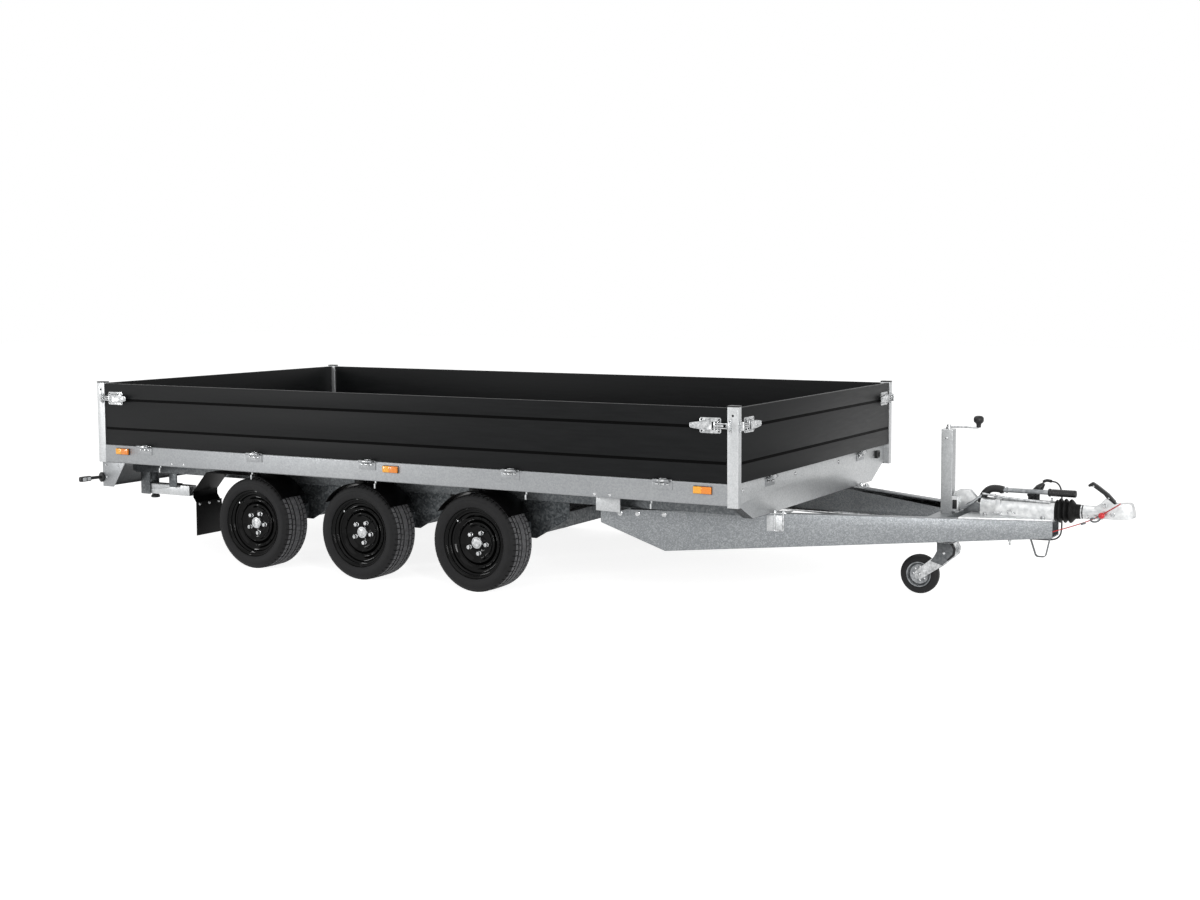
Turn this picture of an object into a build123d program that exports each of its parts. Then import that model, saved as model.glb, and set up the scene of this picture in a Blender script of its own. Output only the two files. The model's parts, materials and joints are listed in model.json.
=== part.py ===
from build123d import *
import os
from math import atan2, cos, degrees, radians, sin, tan

os.makedirs("parts", exist_ok=True)

# Three-axle drop-side flatbed trailer. Millimetres, +X towards the coupling, +Y to the left,
# +Z up, the ground at Z = 0 and X = 0 half way between the coupling's nose and the rear hinges.

# ---------------------------------------------------------------- driving sizes
bed_length = 4120.0  # over the outer faces of the corner posts
bed_width = 2100.0  # over the faces of the side rims
nose_overhang = 380.0  # coupling nose ahead of the drawbar rails
rim_bottom = 538.0
rim_height = 105.0
rim_wall = 4.0
rim_top_flange = 30.0
rim_bottom_flange = 60.0
rim_corner = 7.0

post_x = 56.0
post_y = 36.0
post_wall = 3.0
post_top = 1003.0
front_post_bottom = 530.0

board_height = 353.0
board_thickness = 25.0
board_inset = 4.0  # board face behind the rim face
board_gap = 2.0  # under a board and at its ends
groove_height = 14.0
groove_depth = 1.5
groove_levels = (0.26, 0.735)  # down from the top, as shares of the height

hinge_out = 18.0  # side and rear hinge axis outside the rim face
barrel_radius = 7.0
pin_radius = 4.0
pin_clearance = 0.05
knuckle_length = 22.0
knuckle_gap = 1.0
leaf_knuckle = 40.0
side_hinges_front = (395.5, 1255.5)  # behind the front posts
side_hinges_rear = (367.5, 1189.5)  # ahead of the rear posts
side_hinge_middle = -91.5
front_hinge_in = 430.0  # inside the side rims' faces
rear_hinge_in = 350.0
front_hinge_back = 8.0  # front hinge axis behind the post face
front_hinge_drop = 10.0  # front hinge axis under the rim's top

floor_thickness = 18.0
cross_member_height = 59.0
cross_member_width = 50.0
cross_member_wall = 3.0
cross_member_count = 7
beam_tyre_gap = 15.0  # from each long member to the inner side of the tyres
beam_flange = 40.0
beam_wall = 4.0
beam_bottom = 466.0

panel_recess = 31.0  # front panel behind the post faces
panel_sheet = 4.0
panel_fold = 55.0
panel_corner_in = 65.0  # upper end of the slanted corner, inside the rim's face
panel_corner_run = 175.0
panel_shoulder = 535.0

tyre_radius = 252.5
tyre_width = 190.0
tyre_inset = 5.0  # outer side of each tyre inside the rim's face
axle_spacing = 736.5
middle_axle_ahead = 1890.0  # middle axle ahead of the rear posts
arm_length = 160.0  # axle tube ahead of the wheel centre
axle_tube = 80.0
axle_tube_height = 310.0
spindle_radius = 25.0
spindle_clearance = 0.05

guard_gap = 11.5
guard_sheet = 3.5
guard_start = 35.0  # degrees above the level
guard_end = 145.0

drawbar_reach = 1215.0  # end of the drawbar rails ahead of the front posts
drawbar_end_half = 64.0
drawbar_panel_in = 450.0  # rails' outer faces inside the rim's face, at the front panel
rail_top_front = 422.0
rail_top_tail = 466.0
rail_bottom_front = 339.0
rail_bottom_knee = 256.0
rail_bottom_tail = 397.0
rail_knee_back = 511.0  # behind the front posts
rail_tail_back = 803.0
rail_width = 50.0
rail_web = 5.0
rail_flange = 6.0

head_plate_length = 415.0
head_plate_thickness = 8.0
housing_length = 366.0
housing_step = 1.0  # housing's front face ahead of the rails' end
housing_radius = 45.0
bellows_length = 133.0
coupling_rise = 48.0  # draw tube's axis above the rails' top
ball_back = 62.0  # ball centre behind the coupling's nose
ball_radius = 25.0
ball_clearance = 0.2

jockey_back = 542.5  # jockey post behind the rails' end
jockey_tube_size = 58.0
jockey_tube_wall = 3.0
jockey_tube_top = 843.0
jockey_tube_bottom = 384.0
stem_clearance = 0.5
jockey_cross_width = 90.0
jockey_cross_height = 40.0
jockey_wheel_radius = 100.0
jockey_wheel_width = 60.0
jockey_trail = 141.0
jockey_axle_radius = 8.0

light_board_set = 16.0  # rear face of the light board inside the post faces
light_board_bottom = 395.0
light_board_wall = 4.0
light_board_flange = 30.0

stand_in = 100.0  # stand pivot ahead of the rear posts' faces
stand_inset = 80.0  # stand's middle inside the long member's face
stand_drop = 106.0  # stand pivot under the long members
stand_size = 60.0
stand_reach = 345.0
stand_ear = 5.0
stand_side_gap = 3.0
stand_pin_radius = 8.0

# ---------------------------------------------------------------- places worked out from them
rear_reach = hinge_out + barrel_radius
nose_reach = drawbar_reach + nose_overhang
overall = nose_reach + bed_length + rear_reach
x_front = overall / 2 - nose_reach
x_rear = x_front - bed_length
x_middle = (x_front + x_rear) / 2
y_side = bed_width / 2
rim_top = rim_bottom + rim_height
board_bottom = rim_top + board_gap
board_top = board_bottom + board_height
floor_top = rim_top
floor_bottom = floor_top - floor_thickness
cross_bottom = floor_bottom - cross_member_height
panel_face = x_front - panel_recess
x_end = x_front + drawbar_reach
tail_run = drawbar_reach + rail_tail_back
top_slope = (rail_top_tail - rail_top_front) / tail_run
panel_bottom = rail_top_front + (drawbar_reach + panel_recess + panel_fold) * top_slope
tyre_face = y_side - tyre_inset
tyre_inner = tyre_face - tyre_width
beam_outer = tyre_inner - beam_tyre_gap
panel_shoulder_half = y_side - panel_corner_in
panel_bottom_half = panel_shoulder_half - panel_corner_run
drawbar_panel_half = y_side - drawbar_panel_in
jockey_ahead = drawbar_reach - jockey_back
head_plate_back = drawbar_reach - head_plate_length
tow_level = rail_top_front + coupling_rise
stand_y = beam_outer - stand_inset
stand_z = beam_bottom - stand_drop
x_axles = {
    "rear": x_rear + middle_axle_ahead - axle_spacing,
    "middle": x_rear + middle_axle_ahead,
    "front": x_rear + middle_axle_ahead + axle_spacing,
}
sides = {"right": -1, "left": 1}


def block(x0, x1, y0, y1, z0, z1, mode=Mode.ADD):
    """A box between two corners, in the part that is being built."""
    with Locations(((x0 + x1) / 2, (y0 + y1) / 2, (z0 + z1) / 2)):
        Box(abs(x1 - x0), abs(y1 - y0), abs(z1 - z0), mode=mode)


def rod(centre, radius, length, axis, mode=Mode.ADD):
    """A cylinder about X, Y or Z, by its middle."""
    turn = {"X": (0, 90, 0), "Y": (90, 0, 0), "Z": (0, 0, 0)}[axis]
    with Locations(Location(centre, turn)):
        Cylinder(radius, length, mode=mode)


def cord_radii(name, points):
    """The largest arc that each corner of a cord's route has room for."""
    runs = [Vector(*b) - Vector(*a) for a, b in zip(points, points[1:])]
    radii = [
        0.45 * min(before.length, after.length) / tan(radians(before.get_angle(after) / 2))
        for before, after in zip(runs, runs[1:])
    ]
    print(name, "radii", [round(r) for r in radii])
    return radii


def outline(*points):
    """A closed outline of straight runs, in the sketch that is being drawn."""
    Polygon(*points, align=None)


# ---------------------------------------------------------------- rims round the bed
side_start = x_rear + post_x
side_end = x_front - post_x
rear_half = y_side - post_y
rear_rim_depth = 50.0
with BuildPart() as bed_rims:
    block(side_start, side_end, y_side - rim_bottom_flange, y_side, rim_bottom, rim_top)
    fillet(bed_rims.edges().filter_by(Axis.X).group_by(Axis.Y)[-1], rim_corner)
    block(
        side_start, side_end, y_side - rim_bottom_flange, y_side - rim_wall,
        rim_bottom + rim_wall, rim_top - rim_wall, Mode.SUBTRACT,
    )
    block(
        side_start, side_end, y_side - rim_bottom_flange, y_side - rim_top_flange,
        rim_top - rim_wall, rim_top, Mode.SUBTRACT,
    )
    mirror(about=Plane.XZ)
    block(x_rear, x_rear + rear_rim_depth, -rear_half, rear_half, rim_bottom, rim_top)
    fillet(bed_rims.edges().filter_by(Axis.Y).group_by(Axis.X)[0], rim_corner)
    block(
        x_rear + rim_wall, x_rear + rear_rim_depth, -rear_half, rear_half,
        rim_bottom + rim_wall, rim_top - rim_wall, Mode.SUBTRACT,
    )
    block(
        x_rear + rim_top_flange, x_rear + rear_rim_depth, -rear_half, rear_half,
        rim_top - rim_wall, rim_top, Mode.SUBTRACT,
    )
bed_rims.part.label = "bed_rims"
export_step(bed_rims.part, "parts/bed_rims.step")

# ---------------------------------------------------------------- corner posts
with BuildPart() as corner_posts:
    for x_outer, inward, foot in ((x_front, -1, front_post_bottom), (x_rear, 1, rim_bottom)):
        x_inner = x_outer + inward * post_x
        block(x_outer, x_inner, y_side - post_y, y_side, foot, post_top)
        block(
            x_outer + inward * post_wall, x_inner - inward * post_wall,
            y_side - post_y + post_wall, y_side - post_wall, foot, post_top, Mode.SUBTRACT,
        )
    mirror(about=Plane.XZ)
corner_posts.part.label = "corner_posts"
export_step(corner_posts.part, "parts/corner_posts.step")

cap_thickness = 6.0
cap_edge = 1.5
with BuildPart() as post_caps:
    for x_outer, inward in ((x_front + cap_edge, -1), (x_rear - cap_edge, 1)):
        block(
            x_outer, x_outer + inward * (post_x + 2 * cap_edge),
            y_side - post_y - cap_edge, y_side + cap_edge, post_top, post_top + cap_thickness,
        )
    fillet(post_caps.faces().group_by(Axis.Z)[-1].edges(), cap_edge)
    mirror(about=Plane.XZ)
post_caps.part.label = "post_caps"
export_step(post_caps.part, "parts/post_caps.step")

# ---------------------------------------------------------------- frame under the floor
beam_back = x_rear + rear_rim_depth
beam_front = panel_face - panel_fold
with BuildPart() as long_members:
    block(beam_back, beam_front, beam_outer - beam_flange, beam_outer, beam_bottom, cross_bottom)
    block(
        beam_back, beam_front, beam_outer - beam_flange, beam_outer - beam_wall,
        beam_bottom + beam_wall, cross_bottom - beam_wall, Mode.SUBTRACT,
    )
    mirror(about=Plane.XZ)
long_members.part.label = "long_members"
export_step(long_members.part, "parts/long_members.step")

first_cross = x_rear + 120.0
last_cross = x_front - 150.0
cross_half = y_side - rim_wall
with BuildPart() as cross_members:
    for n in range(cross_member_count):
        x = first_cross + (last_cross - first_cross) * n / (cross_member_count - 1)
        x0, x1 = x - cross_member_width / 2, x + cross_member_width / 2
        block(x0, x1, -cross_half, cross_half, cross_bottom, floor_bottom)
        block(
            x0 + cross_member_wall, x1, -cross_half, cross_half,
            cross_bottom + cross_member_wall, floor_bottom - cross_member_wall, Mode.SUBTRACT,
        )
cross_members.part.label = "cross_members"
export_step(cross_members.part, "parts/cross_members.step")

floor_clearance = 1.0
floor_half = y_side - rim_top_flange - floor_clearance
with BuildPart() as floor_panel:
    block(
        x_rear + rim_top_flange + floor_clearance, panel_face - panel_fold - floor_clearance,
        -floor_half, floor_half, floor_bottom, floor_top,
    )
    for side in (-1, 1):
        block(
            x_rear, x_rear + post_x + floor_clearance,
            side * (y_side - post_y - floor_clearance), side * y_side,
            floor_bottom, floor_top, Mode.SUBTRACT,
        )
floor_panel.part.label = "floor_panel"
export_step(floor_panel.part, "parts/floor_panel.step")

# ---------------------------------------------------------------- folded front panel
panel_half = y_side - post_y
fold_slope = atan2(panel_shoulder - panel_bottom, panel_shoulder_half - panel_bottom_half)
fold_set = panel_sheet / sin(fold_slope)
fold_corner = panel_bottom_half + panel_sheet / tan(fold_slope) - fold_set
with BuildPart() as front_panel:
    with BuildSketch(Plane.YZ.offset(panel_face - panel_sheet)):
        outline(
            (panel_half, rim_top), (panel_half, panel_shoulder),
            (panel_shoulder_half, panel_shoulder), (panel_bottom_half, panel_bottom),
            (-panel_bottom_half, panel_bottom), (-panel_shoulder_half, panel_shoulder),
            (-panel_half, panel_shoulder), (-panel_half, rim_top),
        )
    extrude(amount=panel_sheet)
    with BuildSketch(Plane.YZ.offset(panel_face - panel_fold)):
        outline(
            (panel_shoulder_half, panel_shoulder), (panel_bottom_half, panel_bottom),
            (-panel_bottom_half, panel_bottom), (-panel_shoulder_half, panel_shoulder),
            (fold_set - panel_shoulder_half, panel_shoulder),
            (-fold_corner, panel_bottom + panel_sheet), (fold_corner, panel_bottom + panel_sheet),
            (panel_shoulder_half - fold_set, panel_shoulder),
        )
    extrude(amount=panel_fold - panel_sheet)
    block(
        panel_face - panel_fold, panel_face - panel_sheet,
        rim_bottom_flange - y_side, y_side - rim_bottom_flange, rim_top - panel_sheet, rim_top,
    )
front_panel.part.label = "front_panel"
export_step(front_panel.part, "parts/front_panel.step")


# ---------------------------------------------------------------- drop sides
side_board_length = bed_length - 2 * (post_x + board_gap)
end_board_length = bed_width - 2 * (post_y + board_gap)
board_planes = {
    "right": Plane((x_middle, board_inset - y_side, board_bottom), (1, 0, 0), (0, -1, 0)),
    "left": Plane((x_middle, y_side - board_inset, board_bottom), (-1, 0, 0), (0, 1, 0)),
    "front": Plane((x_front - board_inset, 0, board_bottom), (0, 1, 0), (1, 0, 0)),
    "rear": Plane((x_rear + board_inset, 0, board_bottom), (0, -1, 0), (-1, 0, 0)),
}
board_lengths = {
    "right": side_board_length,
    "left": side_board_length,
    "front": end_board_length,
    "rear": end_board_length,
}
for name, plane in board_planes.items():
    with BuildPart() as board:
        with BuildSketch(plane):
            with Locations((0, board_height / 2)):
                Rectangle(board_lengths[name], board_height)
        extrude(amount=-board_thickness)
        with BuildSketch(plane):
            for level in groove_levels:
                with Locations((0, board_height * (1 - level))):
                    Rectangle(board_lengths[name], groove_height)
        extrude(amount=-groove_depth, mode=Mode.SUBTRACT)
    board.part.label = f"{name}_board"
    export_step(board.part, f"parts/{name}_board.step")

# ---------------------------------------------------------------- hinges and latches
# Each face of the bed has a plane at its rim face: x along the board, y up, z outwards.
face_planes = {
    "right": Plane((x_middle, -y_side, 0), (1, 0, 0), (0, -1, 0)),
    "left": Plane((x_middle, y_side, 0), (-1, 0, 0), (0, 1, 0)),
    "front": Plane((x_front, 0, 0), (0, 1, 0), (1, 0, 0)),
    "rear": Plane((x_rear, 0, 0), (0, -1, 0), (-1, 0, 0)),
}
hinge_runs = (
    [bed_length / 2 - back for back in side_hinges_front] + [side_hinge_middle]
    + [ahead - bed_length / 2 for ahead in side_hinges_rear]
)
front_hinge_u = y_side - front_hinge_in
rear_hinge_u = y_side - rear_hinge_in
hinge_places = {
    "right": hinge_runs,
    "left": [-u for u in hinge_runs],
    "front": [-front_hinge_u, front_hinge_u],
    "rear": [-rear_hinge_u, 0.0, rear_hinge_u],
}
hinge_axes = {
    name: (-front_hinge_back, rim_top - front_hinge_drop) if name == "front" else (hinge_out, rim_top)
    for name in face_planes
}
hinge_plate = 3.0
hinge_plate_half = 55.0
hinge_plate_drop = 45.0
leaf_height = 22.0


def face_block(plane, u0, u1, v0, v1, w0, w1, mode=Mode.ADD):
    """A box in a face's own directions: u along the board, v up, w outwards."""
    centre = plane.from_local_coords(Vector((u0 + u1) / 2, (v0 + v1) / 2, (w0 + w1) / 2))
    with Locations(Plane(centre, plane.x_dir, plane.z_dir)):
        Box(abs(u1 - u0), abs(v1 - v0), abs(w1 - w0), mode=mode)


def face_rod(plane, u0, u1, v, w, radius, mode=Mode.ADD):
    """A cylinder along a board, between u0 and u1."""
    centre = plane.from_local_coords(Vector((u0 + u1) / 2, v, w))
    with Locations(Plane(centre, plane.z_dir, plane.x_dir)):
        Cylinder(radius, u1 - u0, mode=mode)


outer_knuckle = leaf_knuckle / 2 + knuckle_gap + knuckle_length
with BuildPart() as hinge_brackets:
    for name, plane in face_planes.items():
        out, up = hinge_axes[name]
        foot = -panel_recess if name == "front" else 0.0
        for u in hinge_places[name]:
            face_block(
                plane, u - hinge_plate_half, u + hinge_plate_half,
                up - hinge_plate_drop, up - barrel_radius, foot, foot + hinge_plate,
            )
            for sign in (-1, 1):
                near = u + sign * (leaf_knuckle / 2 + knuckle_gap)
                far = u + sign * outer_knuckle
                face_block(plane, near, far, up - barrel_radius, up - pin_radius, foot, out)
                face_block(
                    plane, near, far, up - hinge_plate_drop / 2, up - barrel_radius,
                    foot, foot + hinge_plate,
                )
                face_rod(plane, min(near, far), max(near, far), up, out, barrel_radius)
            face_rod(plane, u - outer_knuckle, u + outer_knuckle, up, out, pin_radius)
hinge_brackets.part.label = "hinge_brackets"
export_step(hinge_brackets.part, "parts/hinge_brackets.step")

latch_level = 914.0
latch_plate_length = 112.0
latch_plate_height = 74.0
latch_plate_thickness = 3.0
latch_from_end = 30.0
lever_length = 150.0
lever_height = 26.0
lever_out = 20.0
link_spread = 18.0
link_radius = 3.5
catch_gap = 1.0
catch_width = 16.0
catch_height = 62.0
catch_out = 22.0
catch_set = 6.0  # catch inside the post's inner edge

for name, plane in face_planes.items():
    half = board_lengths[name] / 2
    out, up = hinge_axes[name]
    with BuildPart() as fittings:
        for u in hinge_places[name]:
            if name == "front":
                face_block(
                    plane, u - leaf_knuckle / 2, u + leaf_knuckle / 2,
                    board_bottom - hinge_plate, board_bottom,
                    -board_inset - board_thickness, out + barrel_radius,
                )
                face_block(
                    plane, u - leaf_knuckle / 2, u + leaf_knuckle / 2,
                    up, board_bottom, out - pin_radius, out + pin_radius,
                )
            else:
                face_block(
                    plane, u - leaf_knuckle / 2, u + leaf_knuckle / 2,
                    board_bottom, board_bottom + leaf_height, -board_inset, hinge_plate - board_inset,
                )
                face_block(
                    plane, u - leaf_knuckle / 2, u + leaf_knuckle / 2,
                    board_bottom, up + barrel_radius, -board_inset, out,
                )
            face_rod(
                plane, u - leaf_knuckle / 2, u + leaf_knuckle / 2, up, out, barrel_radius
            )
            face_rod(
                plane, u - leaf_knuckle / 2, u + leaf_knuckle / 2, up, out,
                pin_radius + pin_clearance, Mode.SUBTRACT,
            )
        for end in (-1, 1):
            outer = end * (half - latch_from_end)
            inner = end * (half - latch_from_end - latch_plate_length)
            base = -board_inset
            face = base + latch_plate_thickness
            face_block(
                plane, inner, outer, latch_level - latch_plate_height / 2,
                latch_level + latch_plate_height / 2, base, face,
            )
            lever_end = end * (half - latch_from_end - lever_length)
            face_block(
                plane, lever_end, outer, latch_level - lever_height / 2,
                latch_level + lever_height / 2, face, lever_out,
            )
            post_edge = half + board_gap + catch_set - catch_gap
            for v in (-link_spread / 2, link_spread / 2):
                face_rod(
                    plane, *sorted((outer, end * post_edge)), latch_level + v,
                    lever_out / 2, link_radius,
                )
    fittings.part.label = f"{name}_board_fittings"
    export_step(fittings.part, f"parts/{name}_board_fittings.step")

with BuildPart() as latch_catches:
    for name, plane in face_planes.items():
        near = board_lengths[name] / 2 + board_gap + catch_set
        for end in (-1, 1):
            face_block(
                plane, end * near, end * (near + catch_width),
                latch_level - catch_height / 2, latch_level + catch_height / 2, 0, catch_out,
            )
latch_catches.part.label = "latch_catches"
export_step(latch_catches.part, "parts/latch_catches.step")

# ---------------------------------------------------------------- wheels
axle_end = tyre_inner + 50.0  # tip of each spindle, from the middle
drum_radius = 114.0
drum_inner = tyre_inner + 10.0
bead_set = 24.0
bead_gap = 0.3
rim_seat = 168.0
rim_lip = 182.0
lip_out = 12.0


def wheel_plane(x):
    """The upright plane through a wheel's centre: x is outwards from the middle, y is up."""
    return Plane((x, 0, tyre_radius), (0, 1, 0), (1, 0, 0))


def wheel_axis(x):
    return Axis((x, 0, tyre_radius), (0, 1, 0))


for end, x in x_axles.items():
    for side, sign in sides.items():
        outer, inner = sign * tyre_face, sign * tyre_inner
        middle = (outer + inner) / 2
        with BuildPart() as tyre:
            with BuildSketch(wheel_plane(x)):
                with BuildLine():
                    bead_out = outer - sign * bead_set
                    bead_in = inner + sign * bead_set
                    Polyline(
                        (bead_in, 183), (bead_in, rim_seat), (bead_out, rim_seat), (bead_out, 183)
                    )
                    ThreePointArc((bead_out, 183), (outer - sign * 7, 193), (outer, 213))
                    ThreePointArc((outer, 213), (outer - sign * 4, 232), (outer - sign * 17, 247))
                    ThreePointArc(
                        (outer - sign * 17, 247), (middle, tyre_radius), (inner + sign * 17, 247)
                    )
                    ThreePointArc((inner + sign * 17, 247), (inner + sign * 4, 232), (inner, 213))
                    ThreePointArc((inner, 213), (inner + sign * 7, 193), (bead_in, 183))
                make_face()
            revolve(axis=wheel_axis(x))
        tyre.part.label = f"{end}_{side}_tyre"
        export_step(tyre.part, f"parts/{end}_{side}_tyre.step")

        with BuildPart() as wheel:
            with BuildSketch(wheel_plane(x)):
                ring = (
                    (inner, lip_out, rim_lip), (inner, bead_set - bead_gap, rim_lip),
                    (inner, bead_set - bead_gap, rim_seat - bead_gap), (inner, 46, 166),
                    (inner, 58, 152), (outer, -66, 152), (outer, -54, 166),
                    (outer, bead_gap - bead_set, rim_seat - bead_gap),
                    (outer, bead_gap - bead_set, rim_lip), (outer, -lip_out, rim_lip),
                    (outer, -lip_out, 177), (outer, -19, 177), (outer, -19, 163),
                    (outer, -51, 161), (outer, -62, 147), (inner, 54, 147),
                    (inner, 42, 161), (inner, 19, 163), (inner, 19, 177), (inner, lip_out, 177),
                )
                outline(*[(face + sign * step, r) for face, step, r in ring])
                disc = (
                    (72, 149), (66, 130), (44, 108), (40, 100), (44, 92), (54, 78), (54, 30),
                    (38, 30), (36, 24), (36, 0), (92, 0), (92, drum_radius), (74, drum_radius),
                    (74, 130), (79, 149),
                )
                outline(*[(outer - sign * step, r) for step, r in disc])
                outline(
                    (outer - sign * 92, 0), (outer - sign * 92, drum_radius),
                    (sign * drum_inner, drum_radius), (sign * drum_inner, 0),
                )
            revolve(axis=wheel_axis(x))
            bore_end = axle_end + 5.0
            rod(
                (x, sign * (drum_inner + bore_end) / 2, tyre_radius),
                spindle_radius + spindle_clearance, bore_end - drum_inner, "Y", Mode.SUBTRACT,
            )
        wheel.part.label = f"{end}_{side}_wheel"
        export_step(wheel.part, f"parts/{end}_{side}_wheel.step")

# ---------------------------------------------------------------- axles with their hanger plates
hanger_y = beam_outer - beam_flange
hanger_sheet = 6.0
arm_inner = hanger_y + hanger_sheet + 4.0
arm_outer = tyre_inner - 17.0
with BuildPart() as axles:
    for x in x_axles.values():
        tube_x = x + arm_length
        block(
            tube_x - axle_tube / 2, tube_x + axle_tube / 2, -arm_outer, arm_outer,
            axle_tube_height - axle_tube / 2, axle_tube_height + axle_tube / 2,
        )
        with BuildSketch(Plane.XZ.offset(-hanger_y - hanger_sheet)):
            outline(
                (x + 434, beam_bottom), (x + 434, 380), (x + 235, 264), (x + 108, 264),
                (x + 45, 345), (x + 45, beam_bottom),
            )
        extrude(amount=hanger_sheet)
        block(
            x + 60, x + 420, hanger_y, beam_outer, beam_bottom - hanger_sheet, beam_bottom
        )
        with BuildSketch(Plane.XZ.offset(-arm_outer)):
            outline(
                (tube_x + 34, axle_tube_height - 34), (tube_x + 34, axle_tube_height + 34),
                (tube_x - 10, axle_tube_height + 40), (x - 12, tyre_radius + 34),
                (x - 34, tyre_radius + 12), (x - 34, tyre_radius - 14),
                (x - 14, tyre_radius - 34), (x + 20, tyre_radius - 34),
            )
        extrude(amount=arm_outer - arm_inner)
        rod((x, (arm_outer + axle_end) / 2, tyre_radius), spindle_radius, axle_end - arm_outer, "Y")
    mirror(about=Plane.XZ)
axles.part.label = "axles"
export_step(axles.part, "parts/axles.step")

# ---------------------------------------------------------------- mudguards and flaps
guard_inner = tyre_inner - 5.0
guard_outer = tyre_face - 5.0
guard_radius = tyre_radius + guard_gap
flap_x = x_axles["rear"] - 409.0
flap_top = 345.0
flap_bottom = 155.0
flap_sheet = 5.0


def on_arc(x, radius, angle):
    """A point on a circle about a wheel's centre, in the XZ plane."""
    return (x + radius * cos(radians(angle)), tyre_radius + radius * sin(radians(angle)))


with BuildPart() as mudguards:
    for end, x in x_axles.items():
        last = 90.0 if end == "rear" else guard_end
        thick = guard_radius + guard_sheet
        middle = (guard_start + last) / 2
        with BuildSketch(Plane.XZ.offset(-guard_outer)):
            with BuildLine():
                ThreePointArc(
                    on_arc(x, guard_radius, guard_start), on_arc(x, guard_radius, middle),
                    on_arc(x, guard_radius, last),
                )
                Line(on_arc(x, guard_radius, last), on_arc(x, thick, last))
                ThreePointArc(
                    on_arc(x, thick, last), on_arc(x, thick, middle), on_arc(x, thick, guard_start)
                )
                Line(on_arc(x, thick, guard_start), on_arc(x, guard_radius, guard_start))
            make_face()
            if end == "rear":
                level = tyre_radius + guard_radius
                outline(
                    (x, level), (x, level + guard_sheet), (x - 330, level + guard_sheet),
                    (x - 433, 405), (x - 433, 372), (flap_x - guard_sheet, flap_top),
                    (flap_x, flap_top), (x - 433 + guard_sheet, 373),
                    (x - 433 + guard_sheet, 404), (x - 328, level),
                )
        extrude(amount=guard_outer - guard_inner)
        block(
            x - 30, x + 30, guard_outer - 45, guard_outer - 15,
            tyre_radius + guard_radius + guard_sheet / 2, rim_bottom,
        )
    mirror(about=Plane.XZ)
mudguards.part.label = "mudguards"
export_step(mudguards.part, "parts/mudguards.step")

with BuildPart() as mudflaps:
    block(flap_x - guard_sheet, flap_x - guard_sheet + flap_sheet, guard_inner - 10, guard_outer,
          flap_bottom, flap_top)
    mirror(about=Plane.XZ)
mudflaps.part.label = "mudflaps"
export_step(mudflaps.part, "parts/mudflaps.step")

# ---------------------------------------------------------------- drawbar
rail_angle = atan2(drawbar_panel_half - drawbar_end_half, drawbar_reach + panel_recess)
rail_plane = Plane(
    (x_end, drawbar_end_half, 0),
    (-cos(rail_angle), sin(rail_angle), 0),
    (sin(rail_angle), cos(rail_angle), 0),
)
knee_run = drawbar_reach + rail_knee_back
bottom_slope = (rail_bottom_front - rail_bottom_knee) / knee_run
overrun = rail_width * sin(rail_angle) + 10.0  # cut off square at the end


def along(run):
    """Distance along a rail for a distance back from its end."""
    return run / cos(rail_angle)


def rail_top_at(ahead):
    """Height of the rails' top at a distance ahead of the front posts."""
    return rail_top_front + (drawbar_reach - ahead) * top_slope


def rail_bottom_at(ahead):
    """Height of the rails' bottom at a distance ahead of the front posts."""
    return rail_bottom_front - (drawbar_reach - ahead) * bottom_slope


def rail_outer_at(ahead):
    """Outer face of a rail from the middle, at a distance ahead of the front posts."""
    return drawbar_end_half + (drawbar_reach - ahead) * tan(rail_angle)


x_jockey = x_front + jockey_ahead
cross_ahead = (jockey_ahead - jockey_cross_width / 2, jockey_ahead + jockey_cross_width / 2)
rail_points = (
    (-along(overrun), rail_top_at(drawbar_reach + overrun)),
    (along(tail_run), rail_top_tail),
    (along(tail_run), rail_bottom_tail),
    (along(knee_run), rail_bottom_knee),
    (-along(overrun), rail_bottom_at(drawbar_reach + overrun)),
)
with BuildPart() as drawbar_frame:
    with BuildSketch(rail_plane):
        outline(*rail_points)
    extrude(amount=-rail_width)
    with BuildSketch(rail_plane.offset(-rail_web)):
        outline(*rail_points)
        offset(amount=-rail_flange, kind=Kind.INTERSECTION, mode=Mode.REPLACE)
    extrude(amount=rail_web - rail_width, mode=Mode.SUBTRACT)
    split(bisect_by=Plane.YZ.offset(x_end), keep=Keep.BOTTOM)
    mirror(about=Plane.XZ)
    with BuildSketch(Plane.XY.offset(jockey_tube_bottom)):
        outline(
            (x_front + cross_ahead[0], rail_outer_at(cross_ahead[0]) - rail_web),
            (x_front + cross_ahead[1], rail_outer_at(cross_ahead[1]) - rail_web),
            (x_front + cross_ahead[1], rail_web - rail_outer_at(cross_ahead[1])),
            (x_front + cross_ahead[0], rail_web - rail_outer_at(cross_ahead[0])),
        )
        with Locations((x_jockey, 0)):
            Rectangle(jockey_tube_size, jockey_tube_size, mode=Mode.SUBTRACT)
    extrude(amount=jockey_cross_height)
drawbar_frame.part.label = "drawbar_frame"
export_step(drawbar_frame.part, "parts/drawbar_frame.step")

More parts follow.
